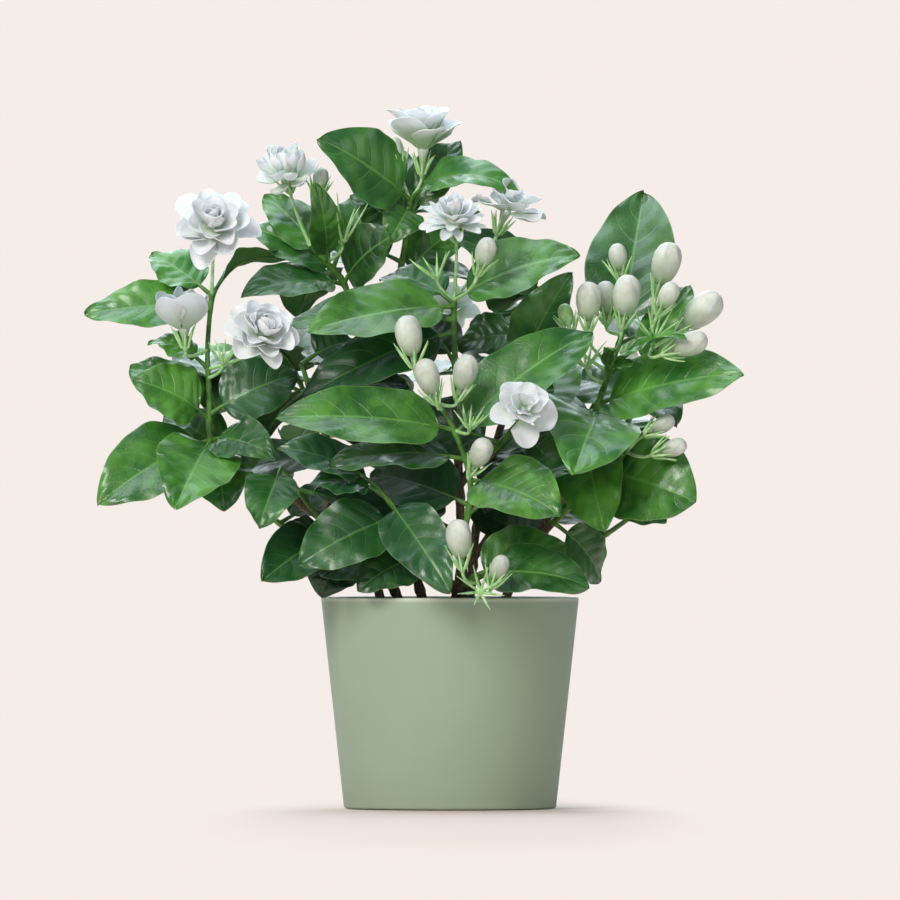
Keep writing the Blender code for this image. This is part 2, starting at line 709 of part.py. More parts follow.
def stalked_calyx(name, shoot, flower, pieces):
    """The green cup under a flower with narrow lobes drawn from its rim, on a stalk drawn from its foot."""
    bm = bmesh.new()
    bmesh.ops.create_cone(
        bm, cap_ends=True, segments=LOBES, radius1=CUP_FOOT_RADIUS, radius2=CUP_RADIUS, depth=CUP_HEIGHT
    )
    bmesh.ops.translate(bm, verts=bm.verts, vec=(0.0, 0.0, -CUP_HEIGHT / 2))
    bm.faces.ensure_lookup_table()
    foot = min(bm.faces, key=lambda face: face.calc_center_median().z)
    seat = max(bm.faces, key=lambda face: face.calc_center_median().z)
    rim = bmesh.ops.inset_individual(bm, faces=[seat], thickness=LOBE_WIDTH)["faces"]
    tilt = math.radians(LOBE_TILT.get(flower.kind, BLOOM_LOBE_TILT))
    for number, face in enumerate(rim):
        middle = face.calc_center_median()
        out = Vector((middle.x, middle.y, 0.0)).normalized()
        length = flower.lobe * (1.0 if number % 2 else SHORT_LOBE)
        tip = bmesh.ops.poke(bm, faces=[face])["verts"][0]
        tip.co = middle + length * (out * math.sin(tilt) + Vector((0.0, 0.0, math.cos(tilt))))
    bmesh.ops.transform(bm, matrix=placed(flower), verts=bm.verts)
    aim = Vector(flower.aim).normalized()
    root = along(shoot.way, flower.at)
    end = Vector(flower.seat) - aim * CUP_HEIGHT
    bend = end - aim * (end - root).length * STALK_BEND
    root += (root - bend).normalized() * STALK_SUNK
    centre = end
    for share in (0.5, 1.0):
        place = end.lerp(bend, share).lerp(bend.lerp(root, share), share)
        before = foot.normal.copy()
        drawn = bmesh.ops.extrude_discrete_faces(bm, faces=[foot])["faces"]
        foot = drawn[0]
        ring = list(foot.verts)
        bmesh.ops.translate(bm, verts=ring, vec=place - centre)
        heading = bend - end if share < 1.0 else root - bend
        turn = before.rotation_difference(heading.normalized()).to_matrix().to_4x4()
        bmesh.ops.rotate(bm, cent=place, matrix=turn, verts=ring)
        if share == 0.5:
            thinner = Vector((1.0, 1.0, 1.0)) * STALK_RADIUS / CUP_FOOT_RADIUS
            bmesh.ops.scale(bm, vec=thinner, verts=ring, space=Matrix.Translation(-place))
        bm.normal_update()
        centre = place
    new_object(name + "_calyx", mesh_from(name, bm), pieces)


def bud_profile(length, radius):
    """Half the outline of a bud, from its tip down to its seat."""
    head = length * (1 - BUD_TUBE)
    outline = [(0.0, length)]
    for height, share in ((0.84, 0.6), (0.42, 1.0)):
        outline.append((radius * share, length - head + head * height))
    return outline + [(TUBE_RADIUS, length * BUD_TUBE - 1.0), (TUBE_RADIUS, GAP), (0.0, GAP)]


def bud(name, flower, collection):
    """A closed bud on its short tube."""
    profile = bud_profile(BUD_LENGTH * flower.size, BUD_RADIUS * flower.size)
    obj = turned(name, profile, BUD_SIDES, collection)
    mesh = applied(obj)
    obj.modifiers.clear()
    obj.data = mesh
    mesh.transform(Matrix.Scale(MM, 4) @ placed(flower) @ Matrix.Scale(1 / MM, 4))
    return obj


def petal(bm, face, layer, stations, size, half_turn):
    """Draws a petal out of a face of the dome: it leaves at one tilt from the axis and curls to another."""
    first_tilt, last_tilt, length, width = layer
    middle = face.calc_center_median()
    turn = math.atan2(middle.y, middle.x)
    start = Vector((math.hypot(middle.x, middle.y), 0.0, middle.z))
    swing = Matrix.Rotation(-turn, 3, "Z")
    by_height = sorted(face.verts, key=lambda vert: vert.co.z)
    corners = [
        min(pair, key=lambda vert: sign * (swing @ vert.co).y)
        for pair in (by_height[:2], by_height[2:])
        for sign in (1, -1)
    ]
    for share, breadth in stations:
        drawn = bmesh.ops.extrude_discrete_faces(bm, faces=[face])["faces"][0]
        after = [min(drawn.verts, key=lambda vert: (vert.co - corner.co).length) for corner in corners]
        tilt = math.radians(first_tilt + (last_tilt - first_tilt) * share / 2)
        run = start + size * length * share * Vector((math.sin(tilt), 0.0, math.cos(tilt)))
        normal = Vector((-math.cos(tilt), 0.0, math.sin(tilt)))
        swung = Matrix.Rotation(turn + half_turn * min(1.0, 1.6 * share), 3, "Z")
        for vert, side, lift in zip(after, (-1, 1, -1, 1), (-0.5, -0.5, 0.5, 0.5)):
            half = side * size * width / 2 * breadth
            rise = lift * PETAL_THICKNESS + half * PETAL_ROLL
            vert.co = swung @ (run + Vector((0.0, half, 0.0)) + normal * rise)
        for left, right in ((0, 1), (2, 3)):
            bmesh.ops.connect_vert_pair(bm, verts=[corners[left], after[right]])
        face = drawn
        corners = after


def bloom(name, flower, collection):
    """An open bloom: a tube that ends in a small dome, and petals in layers that grow out of the dome."""
    tube_length = TUBE_LENGTH[flower.kind] * flower.size
    sides = PETALS_IN_LAYER[flower.kind]
    bm = bmesh.new()
    bmesh.ops.create_cone(
        bm,
        cap_ends=True,
        segments=sides,
        radius1=TUBE_RADIUS,
        radius2=THROAT_RADIUS,
        depth=tube_length - GAP,
    )
    bmesh.ops.translate(bm, verts=bm.verts, vec=(0.0, 0.0, (tube_length + GAP) / 2))
    top = max(bm.faces, key=lambda face: face.calc_center_median().z)
    draw = random.Random(name)
    beds = []
    shrink = Matrix.Diagonal((DOME_SHRINK, DOME_SHRINK, 1.0, 1.0))
    step = Matrix.Translation((0.0, 0.0, DOME_STEP)) @ shrink
    for layer in PETAL_LAYERS[flower.kind]:
        known = set(bm.faces)
        top = bmesh.ops.extrude_discrete_faces(bm, faces=[top])["faces"][0]
        bmesh.ops.transform(bm, matrix=step, verts=list(top.verts))
        beds.append([face for face in bm.faces if face not in known and face != top])
    for number, (bed, layer) in enumerate(zip(beds, PETAL_LAYERS[flower.kind])):
        half_turn = math.pi / sides if number % 2 else 0.0
        stations = INNER_STATIONS if number else PETAL_STATIONS
        for face in bed:
            size = flower.size * draw.uniform(0.94, 1.05)
            petal(bm, face, layer, stations, size, half_turn + draw.uniform(-0.05, 0.05))
    bmesh.ops.triangulate(bm, faces=bm.faces)
    bmesh.ops.transform(bm, matrix=placed(flower), verts=bm.verts)
    return new_object(name, mesh_from(name, bm), collection)


def outline(share):
    """Half the width of a leaf blade, as a share of its widest, from the petiole (0) to the tip (1)."""
    return share**0.45 * (1 - share) ** 0.75 / 0.452


def blade(base, tip, leaf, lift, thickness, with_petiole=True):
    """A leaf as a closed bmesh: a strip of petiole and a folded, arched blade with waved edges."""
    run = tip - base
    length = run.length
    axis = run.normalized()
    face = Vector(leaf.face)
    normal = (face - axis * face.dot(axis)).normalized()
    side = axis.cross(normal)
    phase = leaf.tip[0] * 0.37
    stations = LARGE_LEAF if length > LARGE_LENGTH else SMALL_LEAF
    foot = PETIOLE / length
    rows = [foot + (1 - foot) * share for share in stations]
    if with_petiole:
        rows.insert(0, -ROOT_SUNK / length)
    bm = bmesh.new()
    bmesh.ops.create_grid(bm, x_segments=2, y_segments=len(rows) - 1, size=1.0)
    for vert in bm.verts:
        across = vert.co.x
        place = rows[round((vert.co.y + 1) / 2 * (len(rows) - 1))]
        share = (place - foot) / (1 - foot)
        half = leaf.width / 2 * outline(share) if 0 < share < 1 else 0.0
        if place == foot:
            half = PETIOLE_WIDTH / 2
        rise = leaf.arch * 4 * place * (1 - place) + abs(across) * half * LEAF_FOLD + lift
        if 0 < share < 1:
            rise += abs(across) * LEAF_WAVE * math.sin(math.tau * 1.7 * share + phase + across)
        vert.co = base + run * place + side * across * half + normal * rise
    bmesh.ops.remove_doubles(bm, verts=bm.verts, dist=0.01)
    bmesh.ops.triangulate(bm, faces=bm.faces)
    bmesh.ops.solidify(bm, geom=bm.faces, thickness=thickness)
    bmesh.ops.recalc_face_normals(bm, faces=bm.faces)
    return bm


def bent(base, tip, step):
    """The tip moved further with each step, in depth more than up, down or across."""
    depth = Vector((0.0, 1.0, 0.0))
    across = depth.cross(tip - base).normalized()
    reach = BEND_STEP * math.sqrt(step)
    turn = GOLDEN_TURN * step
    return tip + depth * reach * math.cos(turn) + across * BEND_ACROSS * reach * math.sin(turn)


def tree_of(bm):
    return BVHTree.FromBMesh(bm)


def outside(tip):
    """Whether a tip would stand out of the bush's rounded form, which is narrower over the pot's rim."""
    if tip.z < CROWN_FOOT and not CROWN_FOOT_LEFT < tip.x < CROWN_FOOT_RIGHT:
        return True
    offset = tip - Vector(CROWN_CENTRE)
    return sum((part / half) ** 2 for part, half in zip(offset, CROWN_HALVES)) > 1


def paired_leaves(shoot):
    """Leaves in opposite pairs by the rule of the species, with a seeded draw.

    Where a shoot has leaves of its own at the front, only those of the pairs that point back are grown.
    """
    draw = random.Random(shoot.name)
    leaves = []
    for at, azimuth in shoot.pairs:
        for turn in (0.0, 180.0):
            angle = math.radians(azimuth + turn + draw.uniform(-15, 15))
            pitch = math.radians(draw.uniform(-34, 22))
            length = draw.uniform(60, 80)
            out = Vector((math.cos(angle), math.sin(angle), 0.0))
            if shoot.leaves and out.y < MOST_FORWARD:
                continue
            run = (out * math.cos(pitch) + Vector((0.0, 0.0, math.sin(pitch)))) * length
            base = along(shoot.way, at)
            while run.length > SHORTEST_LEAF and outside(base + run):
                run *= 0.95
            width = run.length * draw.uniform(0.44, 0.54)
            if not outside(base + run):
                leaves.append(Leaf(at, tuple(base + run), width, tuple(out * 0.3 + Vector(LIGHT))))
    return leaves


def grow_leaves(shoots, hard_parts):
    """Places every leaf, the widest first, clear of the stems, the flowers and the leaves placed before."""
    placed_leaves = {shoot.name: [] for shoot in shoots}
    standing = []
    waiting = [(shoot, leaf) for shoot in shoots for leaf in shoot.leaves]
    waiting.sort(key=lambda pair: -pair[1].width)
    waiting += [(shoot, leaf) for shoot in shoots for leaf in paired_leaves(shoot)]
    for number, (shoot, leaf) in enumerate(waiting):
        base = along(shoot.way, leaf.at)
        for step in range(BEND_TRIES):
            tip = bent(base, Vector(leaf.tip), step)
            thick = 2 * LEAF_CLEARANCE + LEAF_THICKNESS
            whole = tree_of(blade(base, tip, leaf, thick / 2, thick))
            body = tree_of(blade(base, tip, leaf, thick / 2, thick, with_petiole=False))
            if any((body if owner == shoot.name else whole).overlap(tree) for owner, tree in hard_parts):
                continue
            if any(
                body.overlap(other_body) if owner == shoot.name else whole.overlap(other)
                for owner, other, other_body in standing
            ):
                continue
            real = LEAF_THICKNESS / 2
            standing.append(
                (
                    shoot.name,
                    tree_of(blade(base, tip, leaf, real, LEAF_THICKNESS)),
                    tree_of(blade(base, tip, leaf, real, LEAF_THICKNESS, with_petiole=False)),
                )
            )
            placed_leaves[shoot.name].append((base, tip, leaf))
            break
        else:
            print("No clear place for leaf", number, "of", shoot.name, [round(value) for value in leaf.tip])
    return placed_leaves


def tree_of_objects(objects):
    bm = bmesh.new()
    for obj in objects:
        bm.from_mesh(obj.data)
    bmesh.ops.scale(bm, vec=(1 / MM, 1 / MM, 1 / MM), verts=bm.verts)
    tree = tree_of(bm)
    bm.free()
    return tree


def build():
    for obj in list(bpy.data.objects):
        bpy.data.objects.remove(obj)
    plant = pieces_collection("potted_arabian_jasmine")
    cutters = pieces_collection("cutters")
    cutters.hide_render = True
    pot(plant, cutters)
    soil(plant, cutters)
    hard_parts = []
    for wood in WOODS:
        hard_parts.append(("wood", tree_of_objects([woody_stem(wood, plant)])))
    counts = {"bloom": 0, "bud": 0}
    shoot_pieces = {}
    for shoot in SHOOTS:
        pieces = pieces_collection("pieces_" + shoot.name)
        points = smooth_way(shoot.way)
        points[0] = points[0] + (points[1] - points[0]).normalized() * GAP
        body = tube("leafy_shoot_" + shoot.name, points, SHOOT_RADIUS, SHOOT_END_RADIUS, 0, plant)
        for number, flower in enumerate(shoot.flowers):
            label = f"{shoot.name}_flower_{number + 1}"
            stalked_calyx(label, shoot, flower, pieces)
            if flower.kind == "green_bud":
                young = bud(label, flower, pieces)
                sunk = -Vector(flower.aim).normalized() * GREEN_BUD_SUNK * MM
                young.data.transform(Matrix.Translation(sunk))
            elif flower.kind == "bud":
                counts["bud"] += 1
                obj = bud(f"bud_{counts['bud']:02d}", flower, plant)
                finish(obj, "bud")
                hard_parts.append(("bud", tree_of_objects([obj])))
            elif flower.kind != "spent":
                counts["bloom"] += 1
                obj = bloom(f"bloom_{counts['bloom']:02d}", flower, plant)
                finish(obj, "bloom")
                hard_parts.append(("bloom", tree_of_objects([obj])))
        hard_parts.append((shoot.name, tree_of_objects([body, *pieces.objects])))
        shoot_pieces[shoot.name] = (body, pieces)
    for name, leaves in grow_leaves(SHOOTS, hard_parts).items():
        body, pieces = shoot_pieces[name]
        for number, (base, tip, leaf) in enumerate(leaves):
            bm = blade(base, tip, leaf, LEAF_THICKNESS / 2, LEAF_THICKNESS)
            new_object(f"{name}_leaf_{number + 1}", mesh_from("leaf", bm), pieces)
        fuse(body, pieces)
        finish(body, "shoot")


build()
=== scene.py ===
import math
import random

import bmesh
import bpy
import numpy as np
from mathutils import Matrix, Vector, noise


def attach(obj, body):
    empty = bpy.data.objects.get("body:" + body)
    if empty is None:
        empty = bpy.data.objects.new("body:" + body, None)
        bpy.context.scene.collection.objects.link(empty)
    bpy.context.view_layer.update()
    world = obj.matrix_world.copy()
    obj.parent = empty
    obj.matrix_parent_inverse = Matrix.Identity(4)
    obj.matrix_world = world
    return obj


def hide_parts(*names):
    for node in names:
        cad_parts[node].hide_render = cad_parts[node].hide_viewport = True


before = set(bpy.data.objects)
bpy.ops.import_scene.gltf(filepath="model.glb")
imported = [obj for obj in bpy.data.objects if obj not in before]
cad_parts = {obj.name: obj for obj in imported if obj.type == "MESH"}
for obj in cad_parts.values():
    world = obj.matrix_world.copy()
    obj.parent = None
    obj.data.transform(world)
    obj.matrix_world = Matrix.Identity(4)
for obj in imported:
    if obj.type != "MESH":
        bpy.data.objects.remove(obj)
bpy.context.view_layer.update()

# The studio: a level camera far away with a long lens, because the pot's rim and foot are seen as
# straight lines. The pale floor runs into a pale surrounding, and wide lamps give soft light:
# daylight from the upper left, weak fills from the front and right, a cool sky above and behind.
PALE = (0.921, 0.847, 0.807, 1.0)
EYE_HEIGHT = 0.179
EYE_DISTANCE = 10.0
LENS = 800.0
FLOOR_RADIUS = 9.0
SHADOW_MIDDLE = (0.0, -0.4, 0.0)
SHADOW_REACH = (1.0, 0.16, 1.0)
SHADOW_RADII = (0.066, 0.135)
FLOOR_DROP = 0.0004


def add_node(tree, kind, inputs=None, **settings):
    """A node with its settings. Each input is set, or linked where it is given another node's output."""
    made = tree.nodes.new(kind)
    for key, value in settings.items():
        setattr(made, key, value)
    for key, value in (inputs or {}).items():
        if isinstance(value, bpy.types.NodeSocket):
            tree.links.new(value, made.inputs[key])
        else:
            made.inputs[key].default_value = value
    return made


def math_node(tree, operation, *values):
    return add_node(tree, "ShaderNodeMath", dict(enumerate(values)), operation=operation).outputs[0]


def ramp(tree, value, low, high, start=0.0, end=1.0, kind="SMOOTHSTEP"):
    """A number that goes from start to end as value goes from low to high."""
    inputs = {"Value": value, "From Min": low, "From Max": high, "To Min": start, "To Max": end}
    return add_node(tree, "ShaderNodeMapRange", inputs, interpolation_type=kind).outputs[0]


def aimed(place, target):
    return (Vector(target) - Vector(place)).to_track_quat("-Z", "Y").to_euler()


def add_lamp(name, place, target, size, power, colour):
    bpy.ops.object.light_add(type="AREA", location=place, rotation=aimed(place, target))
    lamp = bpy.context.object
    lamp.name = name
    lamp.data.size = size
    lamp.data.energy = power
    lamp.data.color = colour


bpy.ops.object.camera_add(location=(0.0, -EYE_DISTANCE, EYE_HEIGHT), rotation=(math.pi / 2, 0.0, 0.0))
camera = bpy.context.object
camera.data.lens = LENS
camera.data.clip_end = 60.0
bpy.context.scene.camera = camera
bpy.context.scene.view_settings.view_transform = "Standard"

surrounding = bpy.data.worlds.new("pale_surrounding")
surrounding.use_nodes = True
bpy.context.scene.world = surrounding
tree = surrounding.node_tree
seen = add_node(tree, "ShaderNodeLightPath").outputs["Is Camera Ray"]
ambient = add_node(tree, "ShaderNodeBackground", {"Color": (0.86, 0.93, 1.0, 1.0), "Strength": 0.15})
backdrop = add_node(tree, "ShaderNodeBackground", {"Color": PALE, "Strength": 1.0})
both = add_node(tree, "ShaderNodeMixShader", {0: seen, 1: ambient.outputs[0], 2: backdrop.outputs[0]})
tree.links.new(both.outputs[0], tree.nodes["World Output"].inputs["Surface"])

add_lamp("window_light", (-1.45, -2.3, 2.0), (0, 0, 0.2), 1.3, 72, (1.0, 0.98, 0.94))
add_lamp("front_fill", (-0.5, -3.2, 0.3), (0, 0, 0.15), 1.5, 14, (1.0, 0.98, 0.95))
add_lamp("right_fill", (2.3, -2.2, 0.8), (0, 0, 0.2), 1.6, 11, (0.9, 0.95, 1.0))
add_lamp("sky_above", (-0.4, 0.5, 2.1), (0, 0, 0.25), 2.0, 38, (0.78, 0.9, 1.0))
add_lamp("sky_behind", (-0.1, 2.6, 1.5), (0, 0, 0.2), 2.6, 60, (0.82, 0.92, 1.0))

bpy.ops.mesh.primitive_circle_add(
    vertices=96, radius=FLOOR_RADIUS, fill_type="TRIFAN", location=(0, 0, -FLOOR_DROP)
)
floor = bpy.context.object
floor.name = "studio_floor"
floor_paint = bpy.data.materials.new("pale_floor")
floor_paint.use_nodes = True
tree = floor_paint.node_tree
tree.nodes.clear()
spot = add_node(tree, "ShaderNodeTexCoord").outputs["Object"]
near = add_node(tree, "ShaderNodeVectorMath", {0: spot, 1: SHADOW_MIDDLE}, operation="SUBTRACT").outputs[0]
near = add_node(tree, "ShaderNodeVectorMath", {0: near, 1: SHADOW_REACH}, operation="MULTIPLY").outputs[0]
away = add_node(tree, "ShaderNodeVectorMath", {0: near}, operation="LENGTH").outputs["Value"]
seen = add_node(tree, "ShaderNodeLightPath").outputs["Is Camera Ray"]
fade = math_node(tree, "MULTIPLY", ramp(tree, away, *SHADOW_RADII), seen)
matt = add_node(tree, "ShaderNodeBsdfDiffuse", {"Color": (0.74, 0.625, 0.575, 1.0)})
glow = add_node(tree, "ShaderNodeEmission", {"Color": PALE, "Strength": 1.0})
both = add_node(tree, "ShaderNodeMixShader", {0: fade, 1: matt.outputs[0], 2: glow.outputs[0]})
end = add_node(tree, "ShaderNodeOutputMaterial", {"Surface": both.outputs[0]})
floor.data.materials.append(floor_paint)

# The pot: one moulded, tapered shell of matt sage-green plastic. Its rim and foot are softly
# rounded, and its flat floor has four drain holes.
MM = 0.001
POT_TOP_RADIUS = 64.5
POT_BASE_RADIUS = 53.0
POT_HEIGHT = 105.5
POT_WALL = 3.6
POT_FLOOR = 5.0
POT_EDGE = 1.1
POT_SIDES = 160
DRAIN_RADIUS = 5.0
DRAIN_CIRCLE = 30.0
DRAIN_HOLES = 4


def select_where(obj, wanted, kind="faces"):
    """In edit mode, selects just the faces or edges for which wanted(middle, face or edge) is true."""
    bpy.context.tool_settings.mesh_select_mode = (False, kind == "edges", kind == "faces")
    bpy.ops.mesh.select_all(action="DESELECT")
    shape = bmesh.from_edit_mesh(obj.data)
    for part in getattr(shape, kind):
        middle = sum((vert.co for vert in part.verts), Vector()) / len(part.verts)
        part.select_set(wanted(middle, part))
    bmesh.update_edit_mesh(obj.data)


def select_only(*objects):
    bpy.ops.object.select_all(action="DESELECT")
    for obj in objects:
        obj.select_set(True)
    bpy.context.view_layer.objects.active = objects[0]


def settle(obj):
    """Puts the object's place in its mesh, so that the object sits at the origin."""
    select_only(obj)
    bpy.ops.object.transform_apply(location=True, rotation=True, scale=True)


def apply_modifier(obj, kind, **settings):
    """Adds a modifier with its settings and applies it."""
    bpy.context.view_layer.objects.active = obj
    made = obj.modifiers.new(kind.lower(), kind)
    for key, value in settings.items():
        setattr(made, key, value)
    bpy.ops.object.modifier_apply(modifier=made.name)


def plain_material(name, colour, roughness, **values):
    """A material, its tree, its Principled shader with constants set on it, and its object coordinates."""
    made = bpy.data.materials.new(name)
    made.use_nodes = True
    shader = made.node_tree.nodes["Principled BSDF"]
    shader.inputs["Base Color"].default_value = (*colour, 1.0)
    shader.inputs["Roughness"].default_value = roughness
    for key, value in values.items():
        shader.inputs[key.replace("_", " ").title().replace("Ior", "IOR")].default_value = value
    place = add_node(made.node_tree, "ShaderNodeTexCoord").outputs["Object"]
    return made, made.node_tree, shader, place


def blend_colour(tree, share, first, second):
    first = (*first, 1.0) if isinstance(first, tuple) else first
    second = (*second, 1.0) if isinstance(second, tuple) else second
    return add_node(tree, "ShaderNodeMix", {0: share, 6: first, 7: second}, data_type="RGBA").outputs[2]


def mottle_group():
    """Soft patches between two colours, with the same patches as a height for a bump."""
    group = bpy.data.node_groups.new("mottle", "ShaderNodeTree")
    sockets = {"Place": "Vector", "Dark": "Color", "Light": "Color", "Scale": "Float", "Detail": "Float"}
    for name, kind in sockets.items():
        group.interface.new_socket(name, in_out="INPUT", socket_type="NodeSocket" + kind)
    group.interface.new_socket("Color", in_out="OUTPUT", socket_type="NodeSocketColor")
    group.interface.new_socket("Height", in_out="OUTPUT", socket_type="NodeSocketFloat")
    given = add_node(group, "NodeGroupInput").outputs
    inputs = {"Vector": given["Place"], "Scale": given["Scale"], "Detail": given["Detail"], "Roughness": 0.6}
    patches = add_node(group, "ShaderNodeTexNoise", inputs).outputs[0]
    colour = blend_colour(group, ramp(group, patches, 0.3, 0.7), given["Dark"], given["Light"])
    add_node(group, "NodeGroupOutput", {"Color": colour, "Height": patches})
    return group


def add_mottle(tree, place, dark, light, scale, detail=3.0):
    inputs = {"Place": place, "Dark": (*dark, 1.0), "Light": (*light, 1.0), "Scale": scale, "Detail": detail}
    made = add_node(tree, "ShaderNodeGroup", inputs, node_tree=MOTTLE)
    return made.outputs["Color"], made.outputs["Height"]


def noise_height(tree, place, scale, detail):
    inputs = {"Vector": place, "Scale": scale, "Detail": detail}
    return add_node(tree, "ShaderNodeTexNoise", inputs).outputs[0]


def add_bump(tree, shader, height, strength, distance):
    made = add_node(tree, "ShaderNodeBump", {"Height": height, "Strength": strength, "Distance": distance})
    tree.links.new(made.outputs["Normal"], shader.inputs["Normal"])


MOTTLE = mottle_group()

bpy.ops.object.select_all(action="DESELECT")
bpy.ops.mesh.primitive_cone_add(
    vertices=POT_SIDES,
    radius1=POT_BASE_RADIUS * MM,
    radius2=POT_TOP_RADIUS * MM,
    depth=POT_HEIGHT * MM,
    location=(0.0, 0.0, POT_HEIGHT / 2 * MM),
)
pot = bpy.context.object
pot.name = "sage_pot"
settle(pot)
bpy.ops.object.mode_set(mode="EDIT")
select_where(pot, lambda middle, face: middle.z > (POT_HEIGHT - 0.1) * MM)
bpy.ops.mesh.inset(thickness=POT_WALL * MM)
bpy.ops.mesh.extrude_region_move(TRANSFORM_OT_translate={"value": (0.0, 0.0, (POT_FLOOR - POT_HEIGHT) * MM)})
pot_slope = (POT_TOP_RADIUS - POT_BASE_RADIUS) / POT_HEIGHT
inner_base = POT_BASE_RADIUS - POT_WALL + pot_slope * POT_FLOOR
shrink = inner_base / (POT_TOP_RADIUS - POT_WALL)
bpy.ops.transform.resize(value=(shrink, shrink, 1.0), center_override=(0.0, 0.0, 0.0))


def on_pot_corner(middle, edge):
    """Whether an edge runs round the rim, the foot or the corner of the floor inside."""
    level = abs(edge.verts[0].co.z - edge.verts[1].co.z) < 0.01 * MM
    return level and Vector((middle.x, middle.y)).length > 0.5 * inner_base * MM


select_where(pot, on_pot_corner, "edges")
bpy.ops.mesh.bevel(offset=POT_EDGE * MM, segments=4, affect="EDGES")
bpy.ops.object.mode_set(mode="OBJECT")
for number in range(DRAIN_HOLES):
    angle = math.tau * (number + 0.5) / DRAIN_HOLES
    x, y = DRAIN_CIRCLE * MM * math.cos(angle), DRAIN_CIRCLE * MM * math.sin(angle)
    bpy.ops.mesh.primitive_cylinder_add(
        vertices=32, radius=DRAIN_RADIUS * MM, depth=3 * POT_FLOOR * MM, location=(x, y, POT_FLOOR / 2 * MM)
    )
    drill = bpy.context.object
    select_only(pot)
    apply_modifier(pot, "BOOLEAN", object=drill, operation="DIFFERENCE", solver="EXACT")
    bpy.data.objects.remove(drill)
bpy.ops.object.shade_smooth_by_angle(angle=math.radians(32))

sage, tree, shader, place = plain_material("sage_plastic", (0.36, 0.43, 0.32), 0.58, specular_ior_level=0.25)
colour, cloud = add_mottle(tree, place, (0.33, 0.424, 0.306), (0.354, 0.45, 0.33), 14.0)
level = add_node(tree, "ShaderNodeSeparateXYZ", {0: place}).outputs["Z"]
# Painted highlight: the top of the rim is painted paler, as if it caught the light
colour = blend_colour(tree, ramp(tree, level, 0.1028, 0.1046, 0.0, 0.8, "LINEAR"), colour, (0.66, 0.72, 0.6))
tree.links.new(colour, shader.inputs["Base Color"])
tree.links.new(ramp(tree, cloud, 0.0, 1.0, 0.46, 0.58, "LINEAR"), shader.inputs["Roughness"])
add_bump(tree, shader, noise_height(tree, place, 1400.0, 2.0), 0.12, 0.0002)
pot.data.materials.append(sage)
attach(pot, "root")
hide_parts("pot")

# The soil: dark potting mix pressed round the stems to just under the rim. It is one lumpy slab
# with loose crumbs, bits of bark and a few white grains of perlite lying on it.
SOIL_LEVEL = 96.0
SOIL_SIDES = 120
SOIL_LUMPS = 1.8
SOIL_GAP = 0.4
SOIL_RING = 2.2
SOIL_RINGS = 24
CRUMBS = 420
PERLITE = 26
NOISE_SEED = 5


def soil_lumps(x, y):
    """The height of the soil's slow waves over its level, in millimetres."""
    return SOIL_LUMPS * (math.sin(0.19 * x + 1.0) * math.cos(0.23 * y) + 0.5 * math.sin(0.4 * x - 0.31 * y))


def add_tone(obj, tone):
    """Writes a colour attribute named tone, from one colour or from a row for each vertex."""
    layer = obj.data.color_attributes.new("tone", "FLOAT_COLOR", "POINT")
    layer.data.foreach_set("color", np.broadcast_to(tone, (len(obj.data.vertices), 4)).ravel())


def tone_parts(tree):
    tone = add_node(tree, "ShaderNodeAttribute", attribute_name="tone").outputs["Color"]
    return add_node(tree, "ShaderNodeSeparateColor", {0: tone}).outputs


def join_all(objects, name):
    """Joins the objects to one piece."""
    select_only(*objects)
    bpy.ops.object.join()
    objects[0].name = name
    objects[0].data.name = name
    return objects[0]


def copy_of(master, move, points=None):
    """A copy of a master piece with its own mesh, laid at the points if any, and moved by a matrix."""
    made = master.copy()
    made.data = master.data.copy()
    if points is not None:
        made.data.vertices.foreach_set("co", points.ravel())
    made.data.transform(move)
    bpy.context.scene.collection.objects.link(made)
    return made


soil_base_radius = inner_base - SOIL_GAP
soil_top_radius = soil_base_radius + pot_slope * (SOIL_LEVEL - POT_FLOOR)
bpy.ops.object.select_all(action="DESELECT")
bpy.ops.mesh.primitive_cone_add(
    vertices=SOIL_SIDES,
    radius1=soil_base_radius * MM,
    radius2=soil_top_radius * MM,
    depth=(SOIL_LEVEL - POT_FLOOR - SOIL_GAP) * MM,
    location=(0.0, 0.0, (SOIL_LEVEL + POT_FLOOR + SOIL_GAP) / 2 * MM),
)
soil = bpy.context.object
settle(soil)
bpy.ops.object.mode_set(mode="EDIT")
select_where(soil, lambda middle, face: middle.z > (SOIL_LEVEL - 1) * MM)
for number in range(SOIL_RINGS):
    bpy.ops.mesh.inset(thickness=SOIL_RING * MM)
bpy.ops.mesh.poke()
bpy.ops.object.mode_set(mode="OBJECT")
for vert in soil.data.vertices:
    if vert.co.z > (SOIL_LEVEL - 1) * MM:
        x, y, z = vert.co / MM
        crumbly = noise.fractal(vert.co * 160, 0.8, 2.2, 4) * 1.3
        edge = min(1.0, (soil_top_radius - math.hypot(x, y)) / 2)
        vert.co.z += (soil_lumps(x, y) + crumbly * edge - 1.0) * MM
add_tone(soil, (0.3, 0.0, 0.0, 1.0))
bpy.ops.mesh.primitive_ico_sphere_add(subdivisions=1, radius=1.0)
crumb = bpy.context.object
